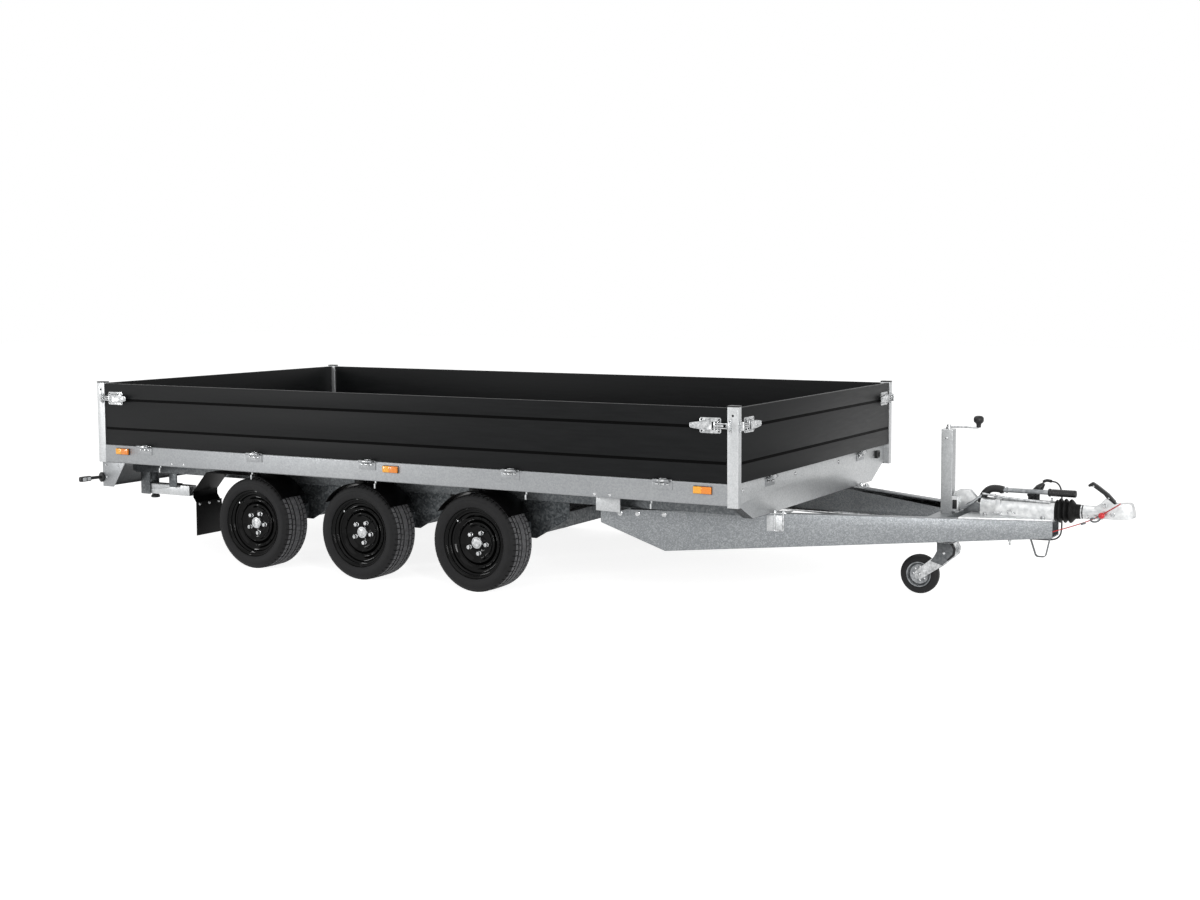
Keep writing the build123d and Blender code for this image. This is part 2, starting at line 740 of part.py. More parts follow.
# Brackets that tie the rails to the rims at their tails and to the front panel.
tail_x = x_front - rail_tail_back
tie_y = y_side - rim_bottom_flange
tie_sheet = 6.0
clamp_plane = Plane(
    (x_front, rail_outer_at(0), 0), (-cos(rail_angle), sin(rail_angle), 0),
    (sin(rail_angle), cos(rail_angle), 0),
)
with BuildPart() as drawbar_brackets:
    block(tail_x + 10, tail_x + 145, tie_y, tie_y + tie_sheet, rail_top_tail, rim_bottom)
    with BuildSketch(Plane.XZ.offset(-tie_y - tie_sheet)):
        outline(
            (tail_x + 10, rail_top_at(10 - rail_tail_back)),
            (tail_x + 145, rail_top_at(145 - rail_tail_back)),
            (tail_x + 145, rail_top_tail + tie_sheet), (tail_x + 10, rail_top_tail + tie_sheet),
        )
    extrude(amount=110.0)
    with BuildSketch(clamp_plane):
        outline((-24, 362), (56, 362), (56, 440), (-24, 440))
    extrude(amount=4.0)
    mirror(about=Plane.XZ)
drawbar_brackets.part.label = "drawbar_brackets"
export_step(drawbar_brackets.part, "parts/drawbar_brackets.step")

# ---------------------------------------------------------------- overrun unit and coupling
plate_half_rear = rail_outer_at(head_plate_back) - 4.0
plate_half_front = rail_outer_at(drawbar_reach) - 4.0
quadrant_gap = 26.0
with BuildPart() as overrun_housing:
    with BuildSketch(Plane.XZ):
        outline(
            (x_front + head_plate_back, rail_top_at(head_plate_back)), (x_end, rail_top_front),
            (x_end, rail_top_front + head_plate_thickness),
            (x_front + head_plate_back, rail_top_at(head_plate_back) + head_plate_thickness),
        )
    extrude(amount=plate_half_rear, both=True)
    with BuildSketch(Plane.XY.offset(rail_bottom_front)):
        outline(
            (x_front + head_plate_back, plate_half_rear), (x_end, plate_half_front),
            (x_end, -plate_half_front), (x_front + head_plate_back, -plate_half_rear),
        )
    extrude(amount=rail_top_tail, mode=Mode.INTERSECT)
    x1 = x_end + housing_step
    x0 = x1 - housing_length
    rod(((x0 + x1) / 2, 0, tow_level), housing_radius, x1 - x0, "X")
    block(x0, x1, -housing_radius, housing_radius, rail_top_front + 5, tow_level)
    block(x0 + 80, x0 + 104, -housing_radius - 8, housing_radius + 8, rail_top_front + 5, 512)
    with BuildSketch(Plane.XZ):
        outline(
            (x_end - 513, tow_level - 24), (x_end - 507, tow_level + 60),
            (x_end - 480, tow_level + 75),
            (x_end - 425, tow_level + 75), (x_end - 365, tow_level + 10),
            (x_end - 365, tow_level - 38),
            (x_end - 395, tow_level - 38), (x_end - 415, tow_level - 24),
        )
    extrude(amount=quadrant_gap / 2 + 4, both=True)
    block(
        x_end - 515, x_end - 310, -quadrant_gap / 2, quadrant_gap / 2, 450, 560,
        Mode.SUBTRACT,
    )
overrun_housing.part.label = "overrun_housing"
export_step(overrun_housing.part, "parts/overrun_housing.step")

bellows_start = x_end + housing_step
ridges = ((52.5, 45.0), (58.0, 47.0), (62.5, 49.0), (60.0, 40.0))
with BuildPart() as bellows:
    with BuildSketch(Plane((0, 0, tow_level), (1, 0, 0), (0, -1, 0))):
        fold = (bellows_length - 26.0) / len(ridges)
        outer_line = [(bellows_start, 50.0)]
        for n, (peak, valley) in enumerate(ridges):
            outer_line.append((bellows_start + fold * (n + 0.5), peak))
            outer_line.append((bellows_start + fold * (n + 1), valley))
        outer_line += [(bellows_start + bellows_length - 20, 30), (bellows_start + bellows_length, 29)]
        inner_line = [(x, r - 4.0) for x, r in reversed(outer_line)]
        outline(*outer_line, *inner_line)
    revolve(axis=Axis((0, 0, tow_level), (1, 0, 0)))
bellows.part.label = "bellows"
export_step(bellows.part, "parts/bellows.step")

x_nose = x_front + nose_reach
x_ball = x_nose - ball_back
draw_tube_radius = 25.0
sleeve_radius = 33.0
head_half = 36.0
ball_z = tow_level
with BuildPart() as coupling_head:
    rod(
        ((bellows_start + x_nose - 200) / 2, 0, tow_level), draw_tube_radius,
        x_nose - 200 - bellows_start, "X",
    )
    rod((x_nose - 200, 0, tow_level), sleeve_radius, 90, "X")
    with BuildSketch(Plane.XZ):
        outline(
            (x_nose - 190, tow_level - 24), (x_nose - 190, tow_level + 30),
            (x_nose - 158, tow_level + 52), (x_nose - 140, tow_level + 73),
            (x_nose - 124, tow_level + 73), (x_nose - 96, tow_level + 50),
            (x_nose - 28, tow_level + 56), (x_nose - 16, tow_level + 50),
            (x_nose, tow_level + 4), (x_nose, tow_level - 10), (x_nose - 30, tow_level - 23),
        )
    extrude(amount=head_half, both=True)
    with BuildSketch(Plane.XY.offset(400)):
        outline(
            (x_nose - 190, -26), (x_nose - 150, -head_half), (x_nose - 30, -head_half),
            (x_nose - 8, -24), (x_nose, -10), (x_nose, 10), (x_nose - 8, 24),
            (x_nose - 30, head_half), (x_nose - 150, head_half), (x_nose - 190, 26),
        )
    extrude(amount=200, mode=Mode.INTERSECT)
    block(x_nose - 170, x_nose - 90, -head_half + 8, head_half - 8, 510, 560, Mode.SUBTRACT)
    rod(
        ((bellows_start + x_nose - 180) / 2, 0, tow_level), draw_tube_radius,
        x_nose - 180 - bellows_start, "X",
    )
    rod((x_nose - 205, 0, tow_level), sleeve_radius, 80, "X")
    with Locations((x_ball, 0, ball_z)):
        Sphere(ball_radius + ball_clearance, mode=Mode.SUBTRACT)
    rod((x_ball, 0, ball_z - 20), ball_radius + ball_clearance, 40, "Z", Mode.SUBTRACT)
coupling_head.part.label = "coupling_head"
export_step(coupling_head.part, "parts/coupling_head.step")

with BuildPart() as coupling_handle:
    with BuildSketch(Plane.XZ):
        outline(
            (x_nose - 132, tow_level + 40), (x_nose - 100, tow_level + 40),
            (x_nose - 94, tow_level + 60), (x_nose - 128, tow_level + 96),
            (x_nose - 180, tow_level + 134), (x_nose - 205, tow_level + 149),
            (x_nose - 226, tow_level + 134), (x_nose - 222, tow_level + 124),
            (x_nose - 205, tow_level + 128), (x_nose - 150, tow_level + 90),
            (x_nose - 126, tow_level + 62),
        )
    extrude(amount=16, both=True)
coupling_handle.part.label = "coupling_handle"
export_step(coupling_handle.part, "parts/coupling_handle.step")

lever_level = tow_level + 84.0
with BuildPart() as handbrake_lever:
    with BuildSketch(Plane.XZ):
        outline(
            (x_end - 457, tow_level - 18), (x_end - 423, tow_level - 18),
            (x_end - 343, tow_level + 54),
            (x_end - 315, lever_level - 14), (x_end - 265, lever_level - 15),
            (x_end - 265, lever_level + 15), (x_end - 325, lever_level + 20),
            (x_end - 375, tow_level + 54),
        )
    extrude(amount=quadrant_gap / 2 - 3, both=True)
    rod((x_end - 155, 0, lever_level), 12, 240, "X")
    rod((x_end + 31.5, 0, lever_level), 20, 137, "X")
    rod((x_end - 435, 0, tow_level - 4), 7, quadrant_gap, "Y")
handbrake_lever.part.label = "handbrake_lever"
export_step(handbrake_lever.part, "parts/handbrake_lever.step")

plug_y = 72.0
plug_foot = rail_top_at(1060) + head_plate_thickness
with BuildPart() as plug_holder:
    block(x_end - 155, x_end - 95, plug_y - 3, plug_y + 3, plug_foot, 540)
    with BuildSketch(Plane.XZ.offset(-plug_y - 22)):
        outline(
            (x_end - 165, tow_level + 52), (x_end - 133, tow_level + 20),
            (x_end - 95, tow_level + 60),
            (x_end - 43, tow_level + 114), (x_end - 43, tow_level + 142),
            (x_end - 65, tow_level + 142),
        )
    extrude(amount=44)
plug_holder.part.label = "plug_holder"
export_step(plug_holder.part, "parts/plug_holder.step")

cable_radius = 4.0
cable_foot = 189.2  # cable's lower end behind the rails' end
plug_points = (
    (x_end - 43, plug_y, tow_level + 130), (x_end - 23, plug_y, tow_level + 130),
    (x_end - 5, plug_y, tow_level + 118), (x_end + 6, plug_y, tow_level + 97),
    (x_end + 10, plug_y, tow_level + 68), (x_end + 12, plug_y, tow_level + 20),
    (x_end + 11, plug_y + 2, tow_level - 32), (x_end + 12, plug_y + 3, tow_level - 76),
    (x_end + 11, plug_y + 3, tow_level - 110), (x_end + 5, plug_y + 2, tow_level - 136),
    (x_end - 12, plug_y - 1, tow_level - 152), (x_end - 36, plug_y - 7, tow_level - 158),
    (x_end - 70, plug_y - 16, tow_level - 158), (x_end - 106, plug_y - 24, tow_level - 157),
    (x_end - 146, plug_y - 30, tow_level - 157), (x_end - 172, plug_y - 33, tow_level - 140),
    (x_end - 186, plug_y - 34, tow_level - 110), (x_end - 190, plug_y - 34, tow_level - 76.5),
    (x_end - cable_foot, plug_y - 34, rail_top_at(drawbar_reach - cable_foot)),
)
with BuildPart() as plug_cable:
    with BuildLine() as run:
        FilletPolyline(*plug_points, radius=cord_radii("plug cable", plug_points))
    with BuildSketch(Plane(run.line @ 0, z_dir=run.line % 0)):
        Circle(cable_radius)
    sweep(path=run.line)
plug_cable.part.label = "plug_cable"
export_step(plug_cable.part, "parts/plug_cable.step")

cable_points = (
    (x_end, -61, tow_level - 98), (x_end + 157, -52, tow_level - 44),
    (x_end + 244, -45, tow_level + 6),
    (x_nose - 64, -39, tow_level + 56),
)
cord_radius = 2.5
with BuildPart() as breakaway_cable:
    with BuildLine() as run:
        FilletPolyline(*cable_points, radius=cord_radii("breakaway cable", cable_points))
    with BuildSketch(Plane(run.line @ 0, z_dir=run.line % 0)):
        Circle(cord_radius)
    sweep(path=run.line)
breakaway_cable.part.label = "breakaway_cable"
export_step(breakaway_cable.part, "parts/breakaway_cable.step")

stirrup_points = (
    (x_end - 125, tow_level - 138), (x_end - 93, tow_level - 234), (x_end - 47, tow_level - 234),
    (x_end - 25, tow_level - 134),
)
with BuildPart() as safety_stirrup:
    with BuildLine(Plane.XZ) as run:
        FilletPolyline(*stirrup_points, radius=16)
    with BuildSketch(Plane(run.line @ 0, x_dir=(0, 1, 0), z_dir=run.line % 0)):
        Rectangle(22, 4)
    sweep(path=run.line)
    with BuildSketch(Plane.XZ):
        outline(
            (x_end - 145, rail_bottom_at(1070) - 5), (x_end - 10, rail_bottom_at(1205) - 5),
            (x_end - 10, rail_bottom_at(1205)), (x_end - 145, rail_bottom_at(1070)),
        )
    extrude(amount=66, both=True)
safety_stirrup.part.label = "safety_stirrup"
export_step(safety_stirrup.part, "parts/safety_stirrup.step")

# ---------------------------------------------------------------- jockey wheel
half_tube = jockey_tube_size / 2
jockey_stem_radius = half_tube - jockey_tube_wall - stem_clearance
crank_reach = 153.0
with BuildPart() as jockey_tube:
    block(
        x_jockey - half_tube, x_jockey + half_tube, -half_tube, half_tube,
        jockey_tube_bottom, jockey_tube_top,
    )
    hollow = half_tube - jockey_tube_wall
    block(
        x_jockey - hollow, x_jockey + hollow, -hollow, hollow,
        jockey_tube_bottom, jockey_tube_top - jockey_tube_wall, Mode.SUBTRACT,
    )
    rod((x_jockey, 0, jockey_tube_top + 13), 8, 26, "Z")
    block(x_jockey, x_jockey + crank_reach, -9, 9, jockey_tube_top + 10, jockey_tube_top + 16)
    rod((x_jockey + crank_reach, 0, jockey_tube_top + 34), 10, 42, "Z")
    rod((x_jockey + crank_reach, 0, jockey_tube_top + 62), 17, 24, "Z")
jockey_tube.part.label = "jockey_tube"
export_step(jockey_tube.part, "parts/jockey_tube.step")

fork_pin_radius = 12.0
fork_top = 274.0
fork_block = 40.0
stem_bottom = fork_top + 1.0
with BuildPart() as jockey_stem:
    rod((x_jockey, 0, (stem_bottom + 700) / 2), jockey_stem_radius, 700 - stem_bottom, "Z")
    rod((x_jockey, 0, stem_bottom - 20), fork_pin_radius, 40, "Z")
jockey_stem.part.label = "jockey_stem"
export_step(jockey_stem.part, "parts/jockey_stem.step")

x_jockey_wheel = x_jockey - jockey_trail
cheek_inner = jockey_wheel_width / 2 + 6.0
cheek_sheet = 5.0
with BuildPart() as jockey_fork:
    block(
        x_jockey - 42, x_jockey + 42, -cheek_inner - cheek_sheet, cheek_inner + cheek_sheet,
        fork_top - fork_block, fork_top,
    )
    with BuildSketch(Plane.XZ.offset(cheek_inner)):
        outline(
            (x_jockey - 42, fork_top), (x_jockey + 42, fork_top), (x_jockey + 58, 246),
            (x_jockey + 52, 214), (x_jockey - 20, 150), (x_jockey_wheel + 14, 78),
            (x_jockey_wheel - 12, 80), (x_jockey_wheel - 20, 102), (x_jockey_wheel - 8, 122),
            (x_jockey - 60, 196), (x_jockey - 42, 226),
        )
    extrude(amount=cheek_sheet)
    mirror(about=Plane.XZ)
    rod((x_jockey, 0, fork_top - 25), fork_pin_radius + pin_clearance, 60, "Z", Mode.SUBTRACT)
    rod(
        (x_jockey_wheel, 0, jockey_wheel_radius), jockey_axle_radius,
        2 * (cheek_inner + cheek_sheet), "Y",
    )
jockey_fork.part.label = "jockey_fork"
export_step(jockey_fork.part, "parts/jockey_fork.step")

jockey_rim = 66.0
half_tread = jockey_wheel_width / 2
with BuildPart() as jockey_tyre:
    with BuildSketch(Plane.XY.offset(jockey_wheel_radius)):
        with BuildLine():
            Polyline(
                (x_jockey_wheel + 88, half_tread), (x_jockey_wheel + jockey_rim, half_tread - 10),
                (x_jockey_wheel + jockey_rim, 10 - half_tread), (x_jockey_wheel + 88, -half_tread),
            )
            ThreePointArc(
                (x_jockey_wheel + 88, -half_tread), (x_jockey_wheel + jockey_wheel_radius, 0),
                (x_jockey_wheel + 88, half_tread),
            )
        make_face()
    revolve(axis=Axis((x_jockey_wheel, 0, jockey_wheel_radius), (0, 1, 0)))
jockey_tyre.part.label = "jockey_tyre"
export_step(jockey_tyre.part, "parts/jockey_tyre.step")

with BuildPart() as jockey_wheel:
    with BuildSketch(Plane.XY.offset(jockey_wheel_radius)):
        r0 = jockey_axle_radius + pin_clearance
        r1 = jockey_rim - bead_gap
        outline(
            *[
                (x_jockey_wheel + r, y)
                for r, y in (
                    (r0, 28), (22, 28), (26, 10), (48, 8), (58, 18), (r1, 20), (r1, -20),
                    (58, -18), (48, -8), (26, -10), (22, -28), (r0, -28),
                )
            ]
        )
    revolve(axis=Axis((x_jockey_wheel, 0, jockey_wheel_radius), (0, 1, 0)))
jockey_wheel.part.label = "jockey_wheel"
export_step(jockey_wheel.part, "parts/jockey_wheel.step")

# ---------------------------------------------------------------- lights
light_half = y_side - 10.0
light_face = x_rear + light_board_set
with BuildPart() as light_board:
    block(light_face, light_face + light_board_wall, -light_half, light_half,
          light_board_bottom, rim_bottom)
    for z0, z1 in (
        (light_board_bottom, light_board_bottom + light_board_wall),
        (rim_bottom - light_board_wall, rim_bottom),
    ):
        block(light_face, light_face + light_board_flange, -light_half, light_half, z0, z1)
    for side in (-1, 1):
        with BuildSketch(Plane.XZ.offset(side * light_half)):
            outline(
                (light_face, rim_bottom), (light_face + 180, rim_bottom),
                (light_face + 85, light_board_bottom), (light_face, light_board_bottom),
            )
        extrude(amount=-side * light_board_wall)
light_board.part.label = "light_board"
export_step(light_board.part, "parts/light_board.step")

lamp_depth = 34.0
with BuildPart() as rear_lamps:
    block(
        light_face - lamp_depth, light_face, light_half - 385, light_half - 135,
        light_board_bottom + 25, light_board_bottom + 120,
    )
    fillet(rear_lamps.faces().group_by(Axis.X)[0].edges(), 8)
    mirror(about=Plane.XZ)
rear_lamps.part.label = "rear_lamps"
export_step(rear_lamps.part, "parts/rear_lamps.step")

lamp_x = x_rear - 3.5
with BuildPart() as outline_lamps:
    block(lamp_x - 14, light_face + 24, light_half, light_half + 8, 425, 470)
    block(lamp_x - 14, lamp_x + 14, light_half, light_half + 30, 425, 470)
    block(lamp_x - 14, lamp_x + 14, light_half, light_half + 90, 436, 462)
    rod((lamp_x, light_half + 116, 448), 38, 34, "X")
    mirror(about=Plane.XZ)
outline_lamps.part.label = "outline_lamps"
export_step(outline_lamps.part, "parts/outline_lamps.step")

marker_front = 181.5  # side markers' middles from the nearer posts' faces
marker_rear = 196.5
marker_middle = 61.5  # ahead of the bed's middle
marker_places = (x_front - marker_front, x_middle + marker_middle, x_rear + marker_rear)
with BuildPart() as side_markers:
    for x in marker_places:
        block(x - 49, x + 49, y_side, y_side + 14, rim_bottom + 51, rim_bottom + 89)
    fillet(side_markers.faces().group_by(Axis.Y)[-1].edges(), 5)
    mirror(about=Plane.XZ)
side_markers.part.label = "side_markers"
export_step(side_markers.part, "parts/side_markers.step")

hooks_front = (460.5, 1167.5)  # behind the front posts
hooks_rear = (476.5, 1161.5)  # ahead of the rear posts
hook_middle = -47.5
hook_places = (
    [x_front - back for back in hooks_front] + [x_middle + hook_middle]
    + [x_rear + ahead for ahead in hooks_rear]
)
hook_width = 8.0
hook_drop = 38.0
hook_foot = rim_bottom - hook_drop
with BuildPart() as lashing_hooks:
    for x in hook_places:
        with BuildSketch(Plane.YZ.offset(x - hook_width / 2)):
            outline(
                (y_side - 17, rim_bottom), (y_side - 9, rim_bottom), (y_side - 9, rim_bottom - 8),
                (y_side, rim_bottom - 15), (y_side, hook_foot), (y_side - 5, hook_foot),
                (y_side - 5, rim_bottom - 17), (y_side - 17, rim_bottom - 7),
            )
        extrude(amount=hook_width)
    mirror(about=Plane.XZ)
lashing_hooks.part.label = "lashing_hooks"
export_step(lashing_hooks.part, "parts/lashing_hooks.step")

rod_y = 90.0
rod_z = 370.0
rod_radius = 6.0
rod_start = x_axles["rear"] + arm_length
rod_end = x_front + head_plate_back + 32.0
with BuildPart() as brake_rod:
    rod(((rod_start + rod_end) / 2, rod_y, rod_z), rod_radius, rod_end - rod_start, "X")
    block(
        rod_start - 8, rod_start + 8, rod_y - rod_radius, rod_y + rod_radius,
        axle_tube_height + axle_tube / 2, rod_z + rod_radius,
    )
    block(
        rod_end - 12, rod_end, rod_y - rod_radius, rod_y + rod_radius,
        rod_z - rod_radius, rail_top_at(rod_end - x_front),
    )
brake_rod.part.label = "brake_rod"
export_step(brake_rod.part, "parts/brake_rod.step")

# ---------------------------------------------------------------- prop stands
x_stand = x_rear + stand_in
ear_inner = stand_size / 2 + stand_side_gap
ear_outer = ear_inner + stand_ear
with BuildPart() as stand_brackets:
    block(
        x_stand - 32, x_stand + 40, stand_y - ear_outer, beam_outer - 2,
        beam_bottom - 6, beam_bottom,
    )
    for y0 in (stand_y - ear_outer, stand_y + ear_inner):
        block(x_stand - 32, x_stand + 40, y0, y0 + stand_ear, stand_z - 34, beam_bottom - 6)
    rod((x_stand, stand_y, stand_z), stand_pin_radius, 2 * ear_outer, "Y")
    block(
        x_stand + 205, x_stand + 265, beam_outer - beam_flange + 2, beam_outer - beam_flange + 8,
        stand_z + 20, beam_bottom,
    )
    block(
        x_stand + 205, x_stand + 265, stand_y, beam_outer - beam_flange + 8,
        stand_z + stand_size / 2 + 5, stand_z + stand_size / 2 + 10,
    )
    mirror(about=Plane.XZ)
stand_brackets.part.label = "stand_brackets"
export_step(stand_brackets.part, "parts/stand_brackets.step")

for side, sign in sides.items():
    with BuildPart() as stand:
        block(
            x_stand - 30, x_stand + stand_reach, sign * stand_y - stand_size / 2,
            sign * stand_y + stand_size / 2, stand_z - stand_size / 2, stand_z + stand_size / 2,
        )
        block(
            x_stand + 30, x_stand + stand_reach, sign * stand_y - stand_size / 2 + 4,
            sign * stand_y + stand_size / 2 - 4, stand_z - stand_size / 2 + 4,
            stand_z + stand_size / 2 - 4, Mode.SUBTRACT,
        )
        rod(
            (x_stand, sign * stand_y, stand_z), stand_pin_radius + pin_clearance,
            2 * ear_outer, "Y", Mode.SUBTRACT,
        )
    stand.part.label = f"{side}_stand"
    export_step(stand.part, f"parts/{side}_stand.step")
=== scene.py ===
"""Finished looks of a three-axle drop-side flatbed trailer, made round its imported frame.

Lengths are in metres, in the frame's own axes: +X towards the coupling, +Y to the left, +Z up.
"""

import json
import logging
import math
from collections.abc import Callable, Sequence
from dataclasses import dataclass
from enum import Enum

import bpy
from mathutils import Matrix, Vector


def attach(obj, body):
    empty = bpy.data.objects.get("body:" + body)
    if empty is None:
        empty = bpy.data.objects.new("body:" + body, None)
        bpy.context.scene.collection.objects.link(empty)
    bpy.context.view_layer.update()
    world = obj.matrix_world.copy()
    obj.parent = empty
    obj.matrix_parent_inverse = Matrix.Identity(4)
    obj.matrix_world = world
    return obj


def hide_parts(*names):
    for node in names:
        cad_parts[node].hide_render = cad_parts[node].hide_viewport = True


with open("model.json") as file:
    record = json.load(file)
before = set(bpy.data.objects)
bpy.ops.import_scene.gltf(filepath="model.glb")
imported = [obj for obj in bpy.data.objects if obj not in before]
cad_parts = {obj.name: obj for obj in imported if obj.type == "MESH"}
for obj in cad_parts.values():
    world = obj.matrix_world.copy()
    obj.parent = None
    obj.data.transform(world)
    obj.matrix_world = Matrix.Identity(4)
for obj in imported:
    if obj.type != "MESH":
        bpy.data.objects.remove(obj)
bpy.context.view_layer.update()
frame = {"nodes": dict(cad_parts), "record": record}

log = logging.getLogger("trailer")

Piece = bpy.types.Object
Tree = bpy.types.NodeTree
Socket = bpy.types.NodeSocket
Colour = tuple[float, float, float, float]
Point = tuple[float, float, float]
Spot = tuple[float, float]
Rule = Callable[[Vector, Vector], bool]

TURN = 2 * math.pi
MERGE_REACH = 0.00001
UPRIGHT = Matrix.Rotation(-math.pi / 2, 4, "Y")


# ------------------------------------------------------------------ finishes


def linear(hex_colour: str) -> Colour:
    """Turns an sRGB hex colour into the linear colour that a shader takes.

    Args:
        hex_colour: six hex digits, with no sign before them.

    Returns:
        Red, green, blue and an alpha of one.
    """
    channels = [int(hex_colour[n : n + 2], 16) / 255 for n in (0, 2, 4)]
    lit = [c / 12.92 if c <= 0.04045 else ((c + 0.055) / 1.055) ** 2.4 for c in channels]
    return (lit[0], lit[1], lit[2], 1.0)


def per_mm(size: float) -> float:
    """Scale, in Object coordinates, of a pattern whose real repeat is a size in millimetres."""
    return 1000.0 / size


def blend_of(dull: str, pale: str, low: float, high: float, middle: str = "") -> dict:
    """Settings of a colour ramp.

    Args:
        dull: the hex colour at the low place.
        pale: the hex colour at the high place.
        low: where the ramp starts to change.
        high: where it ends.
        middle: a hex colour half way, or none.

    Returns:
        The settings that add_node takes for the ramp.
    """
    stops = [(low, linear(dull)), (high, linear(pale))]
    if middle:
        stops.insert(1, ((low + high) / 2, linear(middle)))
    return {"stops": stops}


def add_node(
    tree: Tree, kind: str, settings: dict | None = None, links: dict | None = None
) -> bpy.types.Node:
    """Adds a node to a tree.

    Args:
        tree: the material's or world's node tree.
        kind: the node's Blender type.
        settings: values by socket or attribute; "stops" holds a ramp's (place, colour) pairs.
        links: the output that feeds each socket.

    Returns:
        The new node.
    """
    node = tree.nodes.new(kind)
    for key, value in (settings or {}).items():
        if key == "stops":
            ramp = node.color_ramp
            ramp.elements[0].position, ramp.elements[0].color = value[0]
            ramp.elements[1].position, ramp.elements[1].color = value[-1]
            for place, colour in value[1:-1]:
                ramp.elements.new(place).color = colour
        elif isinstance(key, int) or key in node.inputs:
            node.inputs[key].default_value = value
        else:
            setattr(node, key, value)
    for key, source in (links or {}).items():
        tree.links.new(source, node.inputs[key])
    return node


@dataclass(frozen=True)
class Finish:
    """What every finish is: the real material's name, and the shader that shows it."""

    name: str

    def build(self) -> bpy.types.Material:
        """Makes the material, its pattern lying in the piece's own real size.

        Returns:
            The material.
        """
        material = bpy.data.materials.new(self.name)
        material.use_nodes = True
        tree = material.node_tree
        tree.nodes.clear()
        place = add_node(tree, "ShaderNodeTexCoord").outputs["Object"]
        shader = self.surface(tree, place)
        add_node(tree, "ShaderNodeOutputMaterial", {}, {"Surface": shader.outputs["BSDF"]})
        return material

    def surface(self, tree: Tree, place: Socket) -> bpy.types.Node:
        """Makes the shader.

        Args:
            tree: the material's tree.
            place: the piece's Object coordinates.

        Returns:
            The shader node.
        """
        raise NotImplementedError


@dataclass(frozen=True)
class Galvanised(Finish):
    """Hot-dip galvanised steel: crystals of zinc in slightly different greys, under dull runs.

    The eye sees a soft, bright grey that breaks into flat patches close to.
    """

    dull: str
    middle: str
    pale: str
    spangle: float = 12.0
    low_roughness: float = 0.36
    high_roughness: float = 0.54
    metal: float = 0.85
    clouding: float = 0.5

    def surface(self, tree: Tree, place: Socket) -> bpy.types.Node:
        """Makes the shader: crystals as cells with wavering edges, and clouds over them.

        Args:
            tree: the material's tree.
            place: the piece's Object coordinates.

        Returns:
            The shader node.
        """
        warp = add_node(
            tree, "ShaderNodeTexNoise", {"Scale": per_mm(30.0), "Detail": 2.0}, {"Vector": place}
        )
        wavering = add_node(
            tree, "ShaderNodeVectorMath", {"operation": "MULTIPLY_ADD", 1: (0.008, 0.008, 0.008)},
            {0: warp.outputs["Color"], 2: place},
        )
        cells = add_node(
            tree, "ShaderNodeTexVoronoi", {"Scale": per_mm(self.spangle)},
            {"Vector": wavering.outputs["Vector"]},
        )
        tone = add_node(tree, "ShaderNodeSeparateColor", {}, {"Color": cells.outputs["Color"]})
        clouds = add_node(
            tree, "ShaderNodeTexNoise",
            {"Scale": per_mm(240.0), "Detail": 6.0, "Roughness": 0.62}, {"Vector": place},
        )
        both = add_node(
            tree, "ShaderNodeMix", {"data_type": "FLOAT", 0: self.clouding},
            {2: tone.outputs["Red"], 3: clouds.outputs["Fac"]},
        )
        colour = add_node(
            tree, "ShaderNodeValToRGB", blend_of(self.dull, self.pale, 0.2, 0.8, self.middle),
            {"Fac": both.outputs[0]},
        )
        gloss = add_node(
            tree, "ShaderNodeMapRange",
            {"To Min": self.low_roughness, "To Max": self.high_roughness},
            {"Value": tone.outputs["Green"]},
        )
        grain = add_node(
            tree, "ShaderNodeTexNoise", {"Scale": per_mm(5.0), "Detail": 3.0}, {"Vector": place}
        )
        relief = add_node(
            tree, "ShaderNodeBump", {"Strength": 0.2, "Distance": 0.0004},
            {"Height": grain.outputs["Fac"]},
        )
        return add_node(
            tree, "ShaderNodeBsdfPrincipled", {"Metallic": self.metal},
            {
                "Base Color": colour.outputs["Color"],
                "Roughness": gloss.outputs["Result"],
                "Normal": relief.outputs["Normal"],
            },
        )


@dataclass(frozen=True)
class Skin(Finish):
    """A made surface whose tone drifts slowly, over a fine relief left by its making.

    Zinc plate, castings, rubber, moulded plastic, enamel and sheaths differ in tone, gloss, coat
    and the size of that relief.
    """

    shade: str
    light: str
    roughness: float
    metal: float = 0.0
    coat: float = 0.0
    specular: float = 0.5
    drift: float = 45.0
    grit: float = 2.0
    depth: float = 0.0002

    def surface(self, tree: Tree, place: Socket) -> bpy.types.Node:
        """Makes the shader: a slow drift of tone, and the grit as bump.

        Args:
            tree: the material's tree.
            place: the piece's Object coordinates.

        Returns:
            The shader node.
        """
        slow = add_node(
            tree, "ShaderNodeTexNoise", {"Scale": per_mm(self.drift), "Detail": 5.0},
            {"Vector": place},
        )
        colour = add_node(
            tree, "ShaderNodeValToRGB", blend_of(self.shade, self.light, 0.32, 0.7),
            {"Fac": slow.outputs["Fac"]},
        )
        gloss = add_node(
            tree, "ShaderNodeMapRange",
            {"To Min": self.roughness * 0.85, "To Max": min(1.0, self.roughness * 1.15)},
            {"Value": slow.outputs["Fac"]},
        )
        fine = add_node(
            tree, "ShaderNodeTexNoise", {"Scale": per_mm(self.grit), "Detail": 2.0},
            {"Vector": place},
        )
        relief = add_node(
            tree, "ShaderNodeBump", {"Strength": 0.3, "Distance": self.depth},
            {"Height": fine.outputs["Fac"]},
        )
        return add_node(
            tree, "ShaderNodeBsdfPrincipled",
            {
                "Metallic": self.metal, "Coat Weight": self.coat, "Coat Roughness": 0.05,
                "Specular IOR Level": self.specular,
            },
            {
                "Base Color": colour.outputs["Color"],
                "Roughness": gloss.outputs["Result"],
                "Normal": relief.outputs["Normal"],
            },
        )


